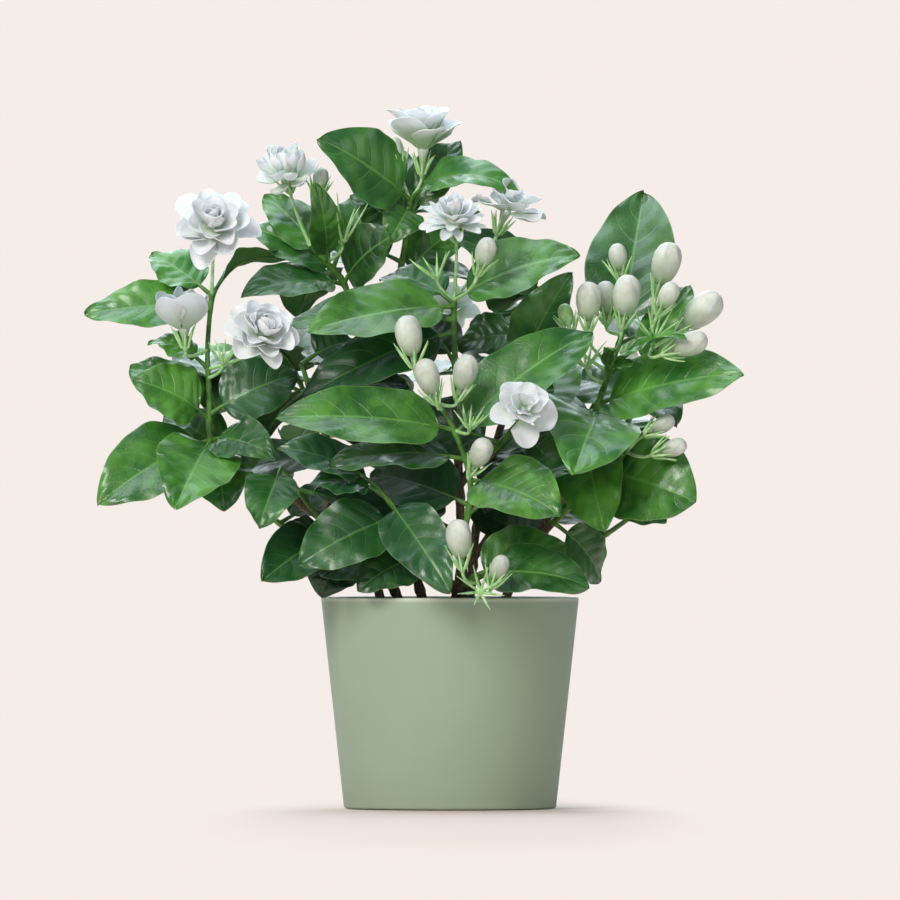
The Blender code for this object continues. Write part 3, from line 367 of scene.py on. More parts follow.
# Without a seed of its own, noise_vector starts from the time of day and differs from run to run
noise.seed_set(NOISE_SEED)
draw = random.Random("crumbs")
pieces = [soil]
for number in range(CRUMBS + PERLITE):
    reach = (soil_top_radius - 2) * math.sqrt(draw.random())
    angle = draw.uniform(0, math.tau)
    x, y = reach * math.cos(angle), reach * math.sin(angle)
    white = number >= CRUMBS
    half = draw.uniform(0.7, 1.3) if white else draw.uniform(0.5, 2.1)
    place = Vector((x, y, SOIL_LEVEL + soil_lumps(x, y) - 0.8))
    turn = Matrix.Rotation(draw.uniform(0, math.tau), 4, Vector((draw.gauss(0, 1), draw.gauss(0, 1), 1.0)))
    form = Matrix.Diagonal((half * draw.uniform(0.8, 1.9), half, half * draw.uniform(0.5, 0.9), 1.0))
    grain = copy_of(crumb, Matrix.Scale(MM, 4) @ Matrix.Translation(place) @ turn @ form)
    for vert in grain.data.vertices:
        vert.co += noise.noise_vector(vert.co * 900) * half * 0.25 * MM
    add_tone(grain, (draw.uniform(0.1, 0.9), float(white), 0.0, 1.0))
    pieces.append(grain)
bpy.data.objects.remove(crumb)
soil = join_all(pieces, "potting_soil")
bpy.ops.object.shade_smooth_by_angle(angle=math.radians(40))

peat, tree, shader, place = plain_material("potting_mix", (0.03, 0.02, 0.014), 0.95)
tone = tone_parts(tree)
dark, height = add_mottle(tree, place, (0.012, 0.008, 0.006), (0.05, 0.033, 0.022), 380.0)
bark = blend_colour(tree, tone["Red"], dark, (0.085, 0.05, 0.03))
mixed = blend_colour(tree, tone["Green"], bark, (0.62, 0.6, 0.56))
tree.links.new(mixed, shader.inputs["Base Color"])
add_bump(tree, shader, height, 0.6, 0.0012)
soil.data.materials.append(peat)
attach(soil, "root")
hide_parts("soil")

# The woody stems: last year's brown wood, one stem with its forks for each part of the bush. They
# grow out of the soil, carry rings where old leaves sat, and end where the green shoots start.
SOIL_TOP = SOIL_LEVEL + 2
FOOT_DEPTH = 40.0
WOOD_RADIUS = 2.7
WOOD_END_RADIUS = 1.8
FORK_RADIUS = 2.1
FORK_RISE = 3.0
END_RUN = 8.0
NODE_STEP = 21.0
WOOD_STEP = 2.5
WOOD_SIDES = 12
RING_WIDTH = 1.8
RING_RISE = 0.22
WOBBLE = 0.35
JOINT_STEP = 18.0

# The green shoots: each one's way, its leaves (where it leaves the shoot, tip, width, start of its
# edge's wave and, unless usual, the side that its face looks to and its arch) and its flowers (kind,
# where the stalk leaves the shoot, seat, direction, size and, unless usual, length of calyx lobes).
USUAL_LEAF = ((0, -0.8, 0.6), 5)
USUAL_LOBE = 9
SHOOTS = {}
SHOOTS["left"] = (
    [(-105, -14, 171), (-119, -20, 184), (-120, -24, 206), (-121, -23, 229), (-119, -20, 256)],
    [
        (1, (-175, -54, 152), 42, 4.4, (0.1, -0.75, 0.65), 7),
        (1, (-136, -74, 151), 42, 6.2, (0, -0.92, 0.35)),
        (1.5, (-158, -34, 214), 34, 4.4, (-0.1, -0.8, 0.6)),
        (1.6, (-76, -18, 217), 34, 3.3, (0, -0.9, 0.45)),
        (0.8, (-112.4, -48.2, 149.1), 32, 2.2),
        (1.5, (-160, -6, 221), 30, 3.6, (0.1, -0.8, 0.6)),
        (4, (-149.5, -6, 277), 30, 1.2, (0.2, -0.7, 0.7), 2),
        (3.8, (-182.5, -22, 247), 28, 1.6, (0.05, -0.8, 0.6), 2),
        (0.3, (-143, 4, 196), 28, 3.6),
        (1, (-87.9, -54.7, 176.4), 27, 5.1, (0, -0.85, 0.5)),
        (1.3, (-106, 14, 226), 24, 4.8),
        (3.7, (-78.7, 10.4, 275.2), 22, 2.6, (0, 0.5, 0.85), 12),
        (2.6, (-150.3, -22.2, 233.5), 18, 1, (0, -0.62, 0.78)),
        (0.4, (-103.3, 50.3, 170), 34.5, 5.8, (0.03, -0.1, 0.8)),
        (2.2, (-124.9, 25.2, 226.1), 32.3, 2.7, (-0.04, -0.1, 0.8)),
    ],
    [
        ("double", 4, (-118, -32, 283), (0, -0.86, 0.5), 1.22),
        ("cup", 3, (-132, -36, 231), (-0.05, -0.15, 1), 1),
        ("double", 2.6, (-98, -46, 230), (0.3, -0.8, 0.5), 1.16),
        ("spent", 2.4, (-113, -36, 224), (0.1, -0.3, 0.95), 1),
    ],
)
SHOOTS["lower_left"] = (
    [(-48, -10, 128), (-66, -22, 146), (-84, -32, 170)],
    [
        (0.6, (-93.4, -56.7, 113.9), 32, 4.4, (0.1, -0.85, 0.5), 4),
        (0.4, (-88, -12, 124), 32, 5.1),
        (0.2, (-64.5, -23.1, 106.1), 30, 6.3),
        (2, (-95, -62, 141), 27, 2.5, (0, -0.95, 0.3), 4),
        (0.5, (-25.5, 5.8, 120.2), 32.6, 1.3, (0.12, -0.13, 0.8)),
        (1.5, (-4.8, -11.3, 127.9), 36, 4.2, (0.29, -0.33, 0.8)),
    ],
    [],
)
SHOOTS["inner_left"] = (
    [(-58, 2, 176), (-68, 0, 202), (-74, -2, 222)],
    [
        (1, (-22, 10, 213), 34, 4.4),
        (2, (-46, 14, 233), 28, 1.8),
        (0.6, (-10.2, 17.6, 188), 28.4, 2.5, (0.25, -0.24, 0.8)),
        (1.3, (-93.8, 52.2, 182.9), 30.7, 3, (-0.12, -0.13, 0.8)),
        (2, (-19.2, 96.7, 210.5), 35.3, 5.6, (0.21, -0.19, 0.8)),
    ],
    [],
)
SHOOTS["back_left"] = (
    [(-42, 20, 232), (-53, 12, 262), (-62, 6, 273), (-70, 2, 281)],
    [
        (1, (-27, -16, 287), 34, 2.6, (0, -0.85, 0.5)),
        (1, (-104, -18, 256), 30, 5.5, (0, -0.62, 0.78)),
        (1.2, (-102.2, 14.3, 290.9), 26, 0.3, (0, -0.7, 0.7)),
        (2, (-93.4, 23.5, 306.6), 24, 2.9),
        (1.6, (-40, 22, 308), 24, 4),
        (2, (-66.7, -26.5, 311.9), 18, 1.8, (0.2, -0.95, 0.2)),
        (0.4, (-9.3, 67.9, 222.5), 30.4, 2.9, (0.18, -0.16, 0.8)),
        (1.6, (-76.7, 69, 246.3), 33.6, 3, (-0.09, -0.11, 0.8)),
    ],
    [
        ("knobs", 3, (-80, -4, 309), (-0.15, -0.6, 0.78), 0.95),
        ("bud", 3, (-66, 0, 306), (0.15, -0.3, 0.95), 0.62),
        ("spent", 2, (-54, -2, 284), (-0.1, -0.25, 1), 1, 20),
    ],
)
SHOOTS["top"] = (
    [(-26, 14, 262), (-22, 8, 286), (-20, 2, 304)],
    [
        (2, (-65.1, -30, 334.4), 39, 0.7, (0, -0.9, 0.45), 4),
        (0.5, (-58, 36, 281), 34, 3.7),
        (2, (34.5, -18, 308), 27, 0.2, (0, -0.6, 0.8), 13),
        (0.1, (8, 26, 292), 26, 3),
        (1, (-49.5, 1.5, 306.7), 24, 0.3, (0.1, -0.9, 0.4)),
        (1.4, (5, 18, 334), 24, 1.9),
        (1.7, (-30, -20, 284), 22, 1.5, (0.1, -0.95, 0.2)),
        (1.1, (-27, 32, 331), 22, 2.6),
        (0.3, (25.4, 46.9, 257.2), 30.4, 3.1, (0.25, -0.23, 0.8)),
        (1.5, (10, 71.1, 295.8), 37.4, 3.7, (0.13, -0.13, 0.8)),
    ],
    [
        ("funnel", 2, (-14, -2, 318), (0.05, -0.1, 1), 1.1),
        ("bud", 2, (-25, 0, 319), (-0.25, -0.1, 0.95), 0.72),
    ],
)
SHOOTS["centre"] = (
    [(3, -16, 215), (2, -26, 238), (2, -32, 254)],
    [
        (1.7, (-71, -60, 238), 38, 5.1, (0, -0.7, 0.7), 4),
        (2, (64.5, -44, 276.5), 38, 5, (0, -0.7, 0.7)),
        (1.3, (-82, -30, 242), 36, 1.1, (0, -0.6, 0.8), 4),
        (1, (-74, -34, 204), 36, 4, (0, -0.7, 0.7)),
        (1.8, (-34.6, -3.6, 265.5), 30, 6.3, (0, -0.5, 0.85)),
        (0.3, (-15, 14, 247), 24, 0.7),
        (0.4, (51.1, 31.7, 197.8), 37, 0, (0.21, -0.18, 0.8)),
    ],
    [
        ("narrow", 2, (3, -40, 284), (-0.05, -0.6, 0.8), 0.95),
        ("loose", 2, (24, -14, 288), (0.35, -0.2, 0.9), 1.15),
        ("bud", 2, (14, -54, 267), (0.3, -0.3, 0.9), 0.8),
        ("spent", 2, (-7, -42, 266), (-0.2, -0.3, 0.95), 1, 11),
    ],
)
SHOOTS["centre_right"] = (
    [(21, -20, 178), (32, -36, 190), (37, -44, 196)],
    [
        (0.4, (-26.1, -12.7, 191.6), 36, 2.9),
        (0.8, (62.9, 1, 225.3), 34, 4.1),
        (1, (52, -24, 166), 30, 0.4),
        (1.5, (36.9, -22.4, 212.3), 32.3, 0.4, (0, -0.1, 0.8)),
    ],
    [
        ("loose", 2, (35, -73, 194), (0.1, -0.9, 0.42), 1.02),
    ],
)
SHOOTS["middle"] = (
    [(8, -52, 142), (10, -58, 164), (2, -62, 189), (-6, -64, 202)],
    [
        (1, (54, -96, 147), 42, 1.1, (0, -0.76, 0.65)),
        (1.9, (71, -44, 238), 40, 1.1, (0, -0.7, 0.7), 6),
        (2, (-86.5, -76, 195), 37, 5.7, (0, -0.78, 0.62)),
        (0.5, (-39.7, -21, 167.1), 36, 4, (0, -0.85, 0.5)),
        (1.4, (-60, -66, 172), 30, 2.9, (0, -0.6, 0.8)),
        (0.3, (68.3, -52.7, 172.4), 35.2, 0.7, (0.28, -0.29, 0.8)),
    ],
    [
        ("bud", 2.6, (-18, -73, 221), (-0.15, -0.1, 0.98), 1.05, 11),
        ("bud", 3, (-7, -74, 203), (-0.3, -0.25, 0.92), 0.95),
        ("bud", 3, (4, -68, 205), (0.25, -0.3, 0.92), 0.95),
        ("spent", 2, (10, -68, 191), (0.15, -0.3, 0.95), 1),
        ("bud", 1.2, (11, -74, 168), (0.35, -0.5, 0.78), 0.85),
    ],
)
SHOOTS["front_left"] = (
    [(-10, -38, 124), (-22, -44, 141), (-30, -50, 153), (-38, -53, 162)],
    [
        (1.4, (-75, -64, 122), 36, 3.7, (0.1, -0.85, 0.5)),
        (0.6, (-66, -28, 118), 36, 0.7),
        (2, (0, -92, 109), 31, 0, (-0.25, -0.75, 0.6), 6),
        (0.2, (-46, -60, 109), 30, 1.8),
        (3, (-86, -56, 180), 28, 5.9, (0, -0.62, 0.78)),
        (2.4, (-69.5, -58.3, 162.5), 26, 5.9, (0, -0.62, 0.78)),
    ],
    [],
)
SHOOTS["low_front"] = (
    [(8, -52, 112), (12, -66, 116), (15, -80, 111)],
    [
        (0.9, (69, -84, 111.5), 36, 0.4, (0.1, -0.7, 0.7), 6),
        (0.5, (58, -46, 132), 34, 2.6),
    ],
    [
        ("bud", 1.6, (6, -91, 121), (-0.1, -0.15, 0.98), 1, 10),
        ("bud", 2, (21, -92, 112), (0.35, -0.25, 0.9), 0.68),
        ("spent", 2, (15, -91, 109), (0, -1, 0.15), 1, 14),
    ],
)
SHOOTS["right"] = (
    [(66, -8, 178), (74, -14, 202), (81, -16, 222), (88, -12, 244)],
    [
        (0.8, (61, -92, 167), 50, 3.7, (0.15, -0.88, 0.45), 9),
        (2.6, (97.4, 33.8, 308.6), 45, 4.8, (-0.15, -1, 0.1), 3),
        (1, (145.6, -53.9, 216.9), 42, 1.5, (0, -0.8, 0.6), 4),
        (0.4, (77, -60, 138), 36, 3.4, (-0.3, -0.9, 0.3)),
        (1.8, (116.5, -62.1, 236.1), 13, 5.2, (0, -0.62, 0.78)),
        (1.6, (81.2, -44, 229), 7, 4.8, (0, -0.62, 0.78)),
        (1.3, (96, -32.7, 223.7), 7, 2.6, (0, -0.62, 0.78)),
        (0.4, (109, 77, 192.2), 34.9, 2.7, (0.16, -0.15, 0.8)),
        (2.4, (124.9, 28.2, 237.5), 28.3, 2.2, (0.21, -0.18, 0.8)),
    ],
    [
        ("bud", 2, (69, -32, 239), (0, -0.1, 1), 1),
        ("bud", 2.6, (78, -18, 243), (-0.02, 0, 1), 0.85),
        ("bud", 2.3, (86, -34, 241), (0.12, -0.2, 0.97), 1.08),
        ("bud", 3, (85, -12, 265), (-0.1, -0.1, 1), 0.72),
        ("green_bud", 1.8, (60, -26, 238), (-0.25, -0.1, 1), 0.6),
        ("spent", 1.5, (68, -28, 222), (-0.1, -0.4, 0.9), 1, 11),
    ],
)
SHOOTS["far_right"] = (
    [(88, -2, 190), (95, -14, 211), (101, -20, 230)],
    [
        (0.6, (60, 22, 214), 30, 3.4),
        (1.2, (120, 4, 262), 24, 0.4),
        (0.5, (124.3, 45.2, 219.6), 31.6, 2, (0.16, -0.15, 0.8)),
    ],
    [
        ("bud", 2, (103, -16, 257), (0.3, -0.15, 0.93), 1.12),
        ("bud", 2, (104, -34, 247), (0.45, -0.3, 0.85), 0.75),
        ("bud", 2, (113, -24, 238), (0.75, -0.2, 0.63), 1.2),
        ("bud", 2, (107, -48, 227), (0.9, -0.2, 0.35), 0.95),
        ("spent", 2, (102, -33, 236), (0.1, -0.5, 0.85), 1, 13),
    ],
)
SHOOTS["lower_right"] = (
    [(51, -8, 142), (64, -20, 155), (76, -28, 169), (88, -34, 178)],
    [
        (2, (122, -50.4, 153.4), 50, 1.3, (0, -0.92, 0.38), 3),
        (1.2, (108, -34, 143), 30, 2.3, (0, -0.7, 0.7)),
        (0.1, (75.4, 14.4, 113), 28, 2.2),
    ],
    [
        ("bud", 3, (98, -42, 187), (0.85, -0.2, 0.5), 0.66),
        ("bud", 3, (102, -48, 177), (0.9, -0.2, 0.3), 0.7),
    ],
)
SHOOTS["back"] = (
    [(14, 66, 168), (8, 84, 202), (2, 94, 230)],
    [
        (0.3, (90.6, 87.7, 177.1), 36.9, 2.1, (0.3, -0.38, 0.8)),
        (0.3, (-48.6, 75.5, 182.4), 29.9, 0.9, (-0.3, -0.37, 0.8)),
        (0.9, (9.6, 130.5, 192.7), 25.4, 3.6, (0.01, -0.1, 0.8)),
        (0.9, (-7, 15.7, 188), 34.8, 3.7, (-0.07, -0.69, 0.8)),
        (1.5, (-44.6, 142.5, 200.6), 34.1, 2.8, (-0.23, -0.2, 0.8)),
        (1.5, (71.7, 53.5, 187.3), 42.3, 1.3, (0.27, -0.52, 0.8)),
        (2, (25.7, 127.6, 209.1), 24.3, 3.2, (0.17, -0.15, 0.8)),
    ],
    [
        ("double", 2, (0, 104, 242), (-0.1, 0.7, 0.7), 0.95),
        ("bud", 2, (22, 100, 236), (0.6, 0.2, 0.8), 0.9),
    ],
)
SHOOTS["back_high"] = (
    [(32, 36, 210), (42, 38, 236), (48, 36, 256)],
    [
        (2, (2, 14, 286), 32, 0.7),
        (0.2, (61, 14, 268), 30, 3.7),
        (1, (3.9, 37.2, 230.4), 26, 1.5),
        (0.4, (61.6, 94, 221.3), 28.8, 3.9, (0.12, -0.13, 0.8)),
        (1.6, (11.6, 90.3, 234), 32.8, 4.3, (-0.16, -0.15, 0.8)),
        (2, (25.7, 96.5, 247.2), 34.6, 3.2, (-0.1, -0.12, 0.8)),
    ],
    [],
)
SHOOTS["back_right"] = (
    [(50, 52, 168), (68, 64, 194), (80, 72, 216)],
    [
        (0.4, (17.7, 1.8, 148.3), 38.8, 0.3, (-0.17, -0.64, 0.8)),
        (1, (96.4, 49.7, 165), 39.6, 3.5, (0.12, -0.68, 0.8)),
        (1.6, (47.3, 33.7, 198.2), 30.2, 4.9, (-0.14, -0.67, 0.8)),
        (2, (54.9, 115.4, 214.5), 26.9, 1.5, (-0.15, -0.14, 0.8)),
        (2, (113.6, 11.8, 190.7), 34.2, 4.3, (0.15, -0.66, 0.8)),
    ],
    [
        ("loose", 2, (88, 80, 228), (0.4, 0.6, 0.7), 1.05),
    ],
)
SHOOTS["back_low_right"] = (
    [(48, 46, 122), (74, 56, 134), (92, 62, 146)],
    [
        (0.2, (8, 30, 150), 34, 3),
        (1.2, (23, 84.5, 157.2), 29.4, 2.2, (-0.27, -0.27, 0.8)),
    ],
    [],
)
SHOOTS["far_back_left"] = (
    [(-50, 56, 166), (-66, 68, 192), (-76, 74, 214)],
    [
        (0.4, (3.4, 68.9, 161.2), 27.6, 1.3, (0.3, -0.36, 0.8)),
        (0.4, (-113.8, 53.3, 163.5), 33.3, 1.7, (-0.28, -0.51, 0.8)),
        (1, (-78.4, 119.6, 177.9), 26.5, 2.4, (-0.07, -0.11, 0.8)),
        (1, (-43.7, 0.6, 180.6), 36.1, 2.7, (0.09, -0.68, 0.8)),
        (1.6, (-138.8, 77.9, 226.2), 33.8, 5.4, (-0.29, -0.33, 0.8)),
        (1.6, (-9.1, 57.9, 199.6), 33.5, 2.9, (0.29, -0.48, 0.8)),
        (2, (-55.6, 129.2, 201.1), 30.7, 4.6, (0.1, -0.12, 0.8)),
        (2, (-94.2, 19, 232.3), 28.5, 2.8, (-0.09, -0.68, 0.8)),
    ],
    [
        ("double", 2, (-80, 84, 224), (-0.3, 0.65, 0.7), 0.95),
    ],
)
SHOOTS["back_low_left"] = (
    [(-58, 50, 126), (-80, 60, 138), (-96, 64, 150)],
    [
        (0.2, (-2.1, 68.1, 150.3), 34, 5.5),
        (0.1, (6.8, 72.8, 137.4), 30, 2.2),
        (1.3, (-38.7, 97.3, 156.4), 28.4, 4.5, (0.24, -0.22, 0.8)),
        (2, (-87.1, 115.9, 170.9), 25.1, 5.5, (0.05, -0.1, 0.8)),
    ],
    [],
)
for way, leaves, flowers in SHOOTS.values():
    leaves[:] = [(*leaf, *USUAL_LEAF[len(leaf) - 4 :]) for leaf in leaves]
    flowers[:] = [(*flower, USUAL_LOBE)[:6] for flower in flowers]

WOODS = [
    ("centre", (7, 3), [(6, -3, 130), (4, -10, 180)], "centre", [(1.6, "centre_right")]),
    ("left", (-24, -4), [(-38, -6, 122), (-74, -8, 152)], "left", [(1, "lower_left"), (1.7, "inner_left")]),
    ("top", (-13, 22), [(-20, 26, 132), (-28, 24, 200)], "top", [(1.7, "back_left")]),
    ("right", (26, 4), [(38, 3, 124), (54, -2, 155)], "right", [(1, "lower_right"), (1.7, "far_right")]),
    ("front", (2, -24), [(4, -36, 112)], "middle", [(0.7, "front_left"), (0.5, "low_front")]),
    (
        "back",
        (10, 34),
        [(12, 48, 128)],
        "back",
        [(0.6, "back_low_right"), (0.9, "back_right"), (1.3, "back_high")],
    ),
    ("back_left", (-34, 24), [(-40, 40, 124)], "far_back_left", [(0.8, "back_low_left")]),
]


def along(way, at):
    """The point of a smooth curve through the way's points; 1.5 is halfway from the second to the third."""
    first = min(int(at), len(way) - 2)
    part = at - first
    before, start, end, after = (Vector(way[min(max(first + k, 0), len(way) - 1)]) for k in (-1, 0, 1, 2))
    bend = 2 * start + (end - before) * part
    bend += (2 * before - 5 * start + 4 * end - after) * part**2
    bend += (3 * start - before - 3 * end + after) * part**3
    return bend / 2


def way_length(way):
    return sum((Vector(b) - Vector(a)).length for a, b in zip(way, way[1:]))


def fine_way(way, step):
    """Points on the curve through the way, about a step apart, each with its number along the way."""
    steps = max(4, round(way_length(way) / step))
    return [(along(way, k * (len(way) - 1) / steps), k * (len(way) - 1) / steps) for k in range(steps + 1)]


def joint_of(name):
    """Where a shoot starts, and the direction in which it leaves its woody stem."""
    way = SHOOTS[name][0]
    steps = max(len(way), round(way_length(way) / JOINT_STEP))
    start, second = Vector(way[0]), along(way, (len(way) - 1) / steps)
    return start, (second - start).normalized()


def draw_tubes(name, runs, sides, skin):
    """One mesh of round tubes. Each run is a list of (point, radius)."""
    line = bpy.data.curves.new(name, "CURVE")
    line.dimensions = "3D"
    line.bevel_depth = MM
    line.bevel_resolution = sides // 2 - 2
    line.use_fill_caps = True
    for points in runs:
        spline = line.splines.new("POLY")
        spline.points.add(len(points) - 1)
        for point, (place, radius) in zip(spline.points, points):
            point.co = (*(Vector(place) * MM), 1.0)
            point.radius = radius
    made = bpy.data.objects.new(name, line)
    bpy.context.scene.collection.objects.link(made)
    select_only(made)
    bpy.ops.object.convert(target="MESH")
    bpy.ops.object.mode_set(mode="EDIT")
    bpy.ops.mesh.select_all(action="SELECT")
    bpy.ops.mesh.remove_doubles(threshold=0.000005)
    bpy.ops.mesh.normals_make_consistent(inside=False)
    bpy.ops.object.mode_set(mode="OBJECT")
    bpy.ops.object.shade_smooth_by_angle(angle=math.radians(60))
    made.data.materials.append(skin)
    return made


def woody_run(way, start_radius, end_radius, draw):
    """A wooden run, a little thicker at its old leaf rings, and never quite straight or round."""
    points = fine_way(way, WOOD_STEP)
    shift = draw.uniform(0, NODE_STEP)
    run = []
    gone = 0.0
    before = points[0][0]
    for place, at in points:
        gone += (place - before).length
        before = place
        share = at / (len(way) - 1)
        ring = math.exp(-((((gone + shift) % NODE_STEP) - NODE_STEP / 2) / RING_WIDTH) ** 2)
        radius = start_radius + (end_radius - start_radius) * share
        run.append((place + noise.noise_vector(place * 0.13) * WOBBLE, radius * (0.97 + RING_RISE * ring)))
    return run


wood_grain, tree, shader, place = plain_material("brown_bark", (0.2, 0.13, 0.07), 0.78)
drawn = add_node(tree, "ShaderNodeMapping", {"Vector": place, "Scale": (1.0, 1.0, 0.22)}).outputs[0]
bark, ridges = add_mottle(tree, drawn, (0.05, 0.036, 0.02), (0.17, 0.13, 0.075), 900.0, 5.0)
spots = add_node(tree, "ShaderNodeTexVoronoi", {"Vector": place, "Scale": 420.0}).outputs["Distance"]
mixed = blend_colour(tree, ramp(tree, spots, 0.1, 0.22, 0.8, 0.0, "LINEAR"), bark, (0.26, 0.21, 0.14))
tree.links.new(mixed, shader.inputs["Base Color"])
add_bump(tree, shader, ridges, 0.7, 0.0006)

for name, (x, y), way, crown, forks in WOODS:
    draw = random.Random(name)
    end, direction = joint_of(crown)
    whole = [(x, y, SOIL_TOP), *way, end - END_RUN * direction]
    runs = [woody_run([(x, y, SOIL_LEVEL - FOOT_DEPTH), *whole, end], WOOD_RADIUS, WOOD_END_RADIUS, draw)]
    for at, shoot in forks:
        tip, direction = joint_of(shoot)
        root = along(whole, at)
        neck = tip - END_RUN * direction
        bend = root.lerp(neck, 0.5) + Vector((0.0, 0.0, FORK_RISE))
        runs.append(woody_run([root, bend, neck, tip], FORK_RADIUS, WOOD_END_RADIUS, draw))
    wood = draw_tubes("wood_" + name, runs, WOOD_SIDES, wood_grain)
    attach(wood, "root")
    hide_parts("woody_stem_" + name)

# The leafy shoots: this year's smooth green stems, thicker where each pair of leaves sits. Petioles
# run on under the blades as midribs. Each flower stands on a thin stalk in a small green cup, with
# eight long, narrow calyx lobes.
SHOOT_RADIUS = 1.6
SHOOT_END_RADIUS = 1.2
SHOOT_STEP = 2.0
SHOOT_SIDES = 8
KNOT_WIDTH = 1.7
KNOT_RISE = 0.28
PETIOLE = 8.0
PETIOLE_WIDTH = 2.2
CUP_RADIUS = 2.25
CUP_HEIGHT = 3.0
CUP_PROFILE = ((0.0, 0.6), (0.08, 0.92), (0.35, 1.28), (0.7, 1.85), (0.95, 2.25), (1.0, 2.1))
STALK_RADIUS = 0.8
STALK_BEND = 0.3
LOBES = 8
LOBE_RADIUS = 0.78
LOBE_STRETCH = 1.28
LOBE_TILT = {"spent": 38.0, "bud": 30.0, "green_bud": 30.0}
BLOOM_LOBE_TILT = 26.0


def leaf_axes(way, leaf):
    """A leaf's base, its run to the tip, its face direction, its side direction and its length."""
    at, tip, width, wave, face, arch = leaf
    base = along(way, at)
    run = Vector(tip) - base
    axis = run.normalized()
    face = Vector(face)
    normal = (face - axis * face.dot(axis)).normalized()
    return base, run, normal, axis.cross(normal), run.length


def petiole_run(way, leaf):
    """The petiole and, under the blade, the midrib that it runs on as."""
    base, run, normal, side, length = leaf_axes(way, leaf)
    foot = PETIOLE / length
    points = []
    for k in range(19):
        share = (k / 18) ** 0.8 * 0.93
        rise = leaf[5] * 4 * share * (1 - share)
        if share < foot:
            radius = 1.05 + 0.35 * max(0.0, 1 - share / foot * 1.6)
            under = 0.0
        else:
            radius = 0.9 * (1 - share) ** 0.9 + 0.12
            under = min(1.0, (share - foot) * 6) * (0.25 + 0.45 * radius)
        points.append((base + run * share + normal * (rise - under), radius))
    return points


def towards(seat, aim):
    """The place and turn of a flower's seat."""
    return Matrix.Translation(Vector(seat)) @ Vector(aim).to_track_quat("Z", "Y").to_matrix().to_4x4()


def calyx_runs(way, flower, draw):
    """The stalk, the cup and the lobes of one flower."""
    kind, at, seat, aim, size, lobe = flower
    aim = Vector(aim).normalized()
    root = along(way, at)
    end = Vector(seat) - aim * CUP_HEIGHT
    bend = end - aim * (end - root).length * STALK_BEND
    stalk = []
    for k in range(13):
        share = k / 12
        place = root.lerp(bend, share).lerp(bend.lerp(end, share), share)
        stalk.append((place, STALK_RADIUS * (1.25 - 0.45 * share) + 0.25 * share**6))
    runs = [stalk, [(end + aim * CUP_HEIGHT * share, radius) for share, radius in CUP_PROFILE]]
    spot = towards(seat, aim)
    tilt = math.radians(LOBE_TILT.get(kind, BLOOM_LOBE_TILT))
    for number in range(LOBES):
        angle = math.tau * (number + 0.5) / LOBES + draw.uniform(-0.12, 0.12)
        length = lobe * LOBE_STRETCH * (1.0 if number % 4 == 0 else draw.uniform(0.78, 0.98))
        lean = tilt * draw.uniform(0.75, 1.15)
        curl = draw.uniform(-0.25, 0.35)
        points = []
        place = Vector((CUP_RADIUS * 0.75 * math.cos(angle), CUP_RADIUS * 0.75 * math.sin(angle), -1.0))
        for k in range(8):
            share = k / 7
            radius = LOBE_RADIUS * (1.15 - share) ** 0.7 * (0.7 + 1.2 * share * (1 - share)) + 0.03
            points.append((spot @ place, radius))
            slope = lean + curl * (share - 0.4)
            out = Vector((math.cos(angle), math.sin(angle), 0.0)) * math.sin(slope)
            out.z = math.cos(slope)
            place = place + out * (length + 1.0) / 7
        runs.append(points)
    return runs


stem_green, tree, shader, place = plain_material("green_stem", (0.12, 0.3, 0.05), 0.42)
colour = add_mottle(tree, place, (0.035, 0.12, 0.015), (0.12, 0.3, 0.045), 140.0)[0]
tree.links.new(colour, shader.inputs["Base Color"])
add_bump(tree, shader, noise_height(tree, place, 2600.0, 1.0), 0.25, 0.0002)
calyx_green, tree, shader, place = plain_material(
    "calyx_green", (0.36, 0.62, 0.22), 0.42, subsurface_weight=0.15, subsurface_scale=0.001
)
colour = add_mottle(tree, place, (0.3, 0.58, 0.2), (0.56, 0.82, 0.44), 260.0)[0]
tree.links.new(colour, shader.inputs["Base Color"])

for name, (way, leaves, flowers) in SHOOTS.items():
    draw = random.Random(name)
    stem = []
    for place, at in fine_way(way, SHOOT_STEP):
        share = at / (len(way) - 1)
        knot = sum(math.exp(-(((along(way, leaf[0]) - place).length / KNOT_WIDTH) ** 2)) for leaf in leaves)
        radius = SHOOT_RADIUS + (SHOOT_END_RADIUS - SHOOT_RADIUS) * share
        stem.append((place, radius * (1 + KNOT_RISE * min(1.0, knot))))
    runs = [stem] + [petiole_run(way, leaf) for leaf in leaves]
    shoot = draw_tubes("shoot_" + name, runs, SHOOT_SIDES, stem_green)
    cups = [run for flower in flowers for run in calyx_runs(way, flower, draw)]
    if cups:
        shoot = join_all([shoot, draw_tubes("cups", cups, SHOOT_SIDES, calyx_green)], "shoot_" + name)
    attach(shoot, "root")
    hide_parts("leafy_shoot_" + name)

# The leaves: glossy, leathery, oval blades in opposite pairs. The blade folds up a little from the
# sunk midrib, puckers between its side veins and waves at the edge. It is paler and matt below.
LEAF_THICKNESS = 0.45
LEAF_FOLD = 0.22
LEAF_WAVE = 1.3
LEAF_COLUMNS = 14
LEAF_ROWS = 40
SIDE_VEINS = 6.0
VEIN_SLOPE = 0.13
VEIN_CURVE = 0.14
PUCKER = 0.75
BUSH_MIDDLE = (-22.0, 0.0, 190.0)
BUSH_RADIUS = 115.0
BUSH_HEIGHT = 380.0
# The inside of the bush, where the leaves get painted shade, as a stretch and shift of the place to a round
# space about zero
INNER_STRETCH = (7.5, 9.0, 6.5)
INNER_SHIFT = (0.2, -0.14, -1.0)
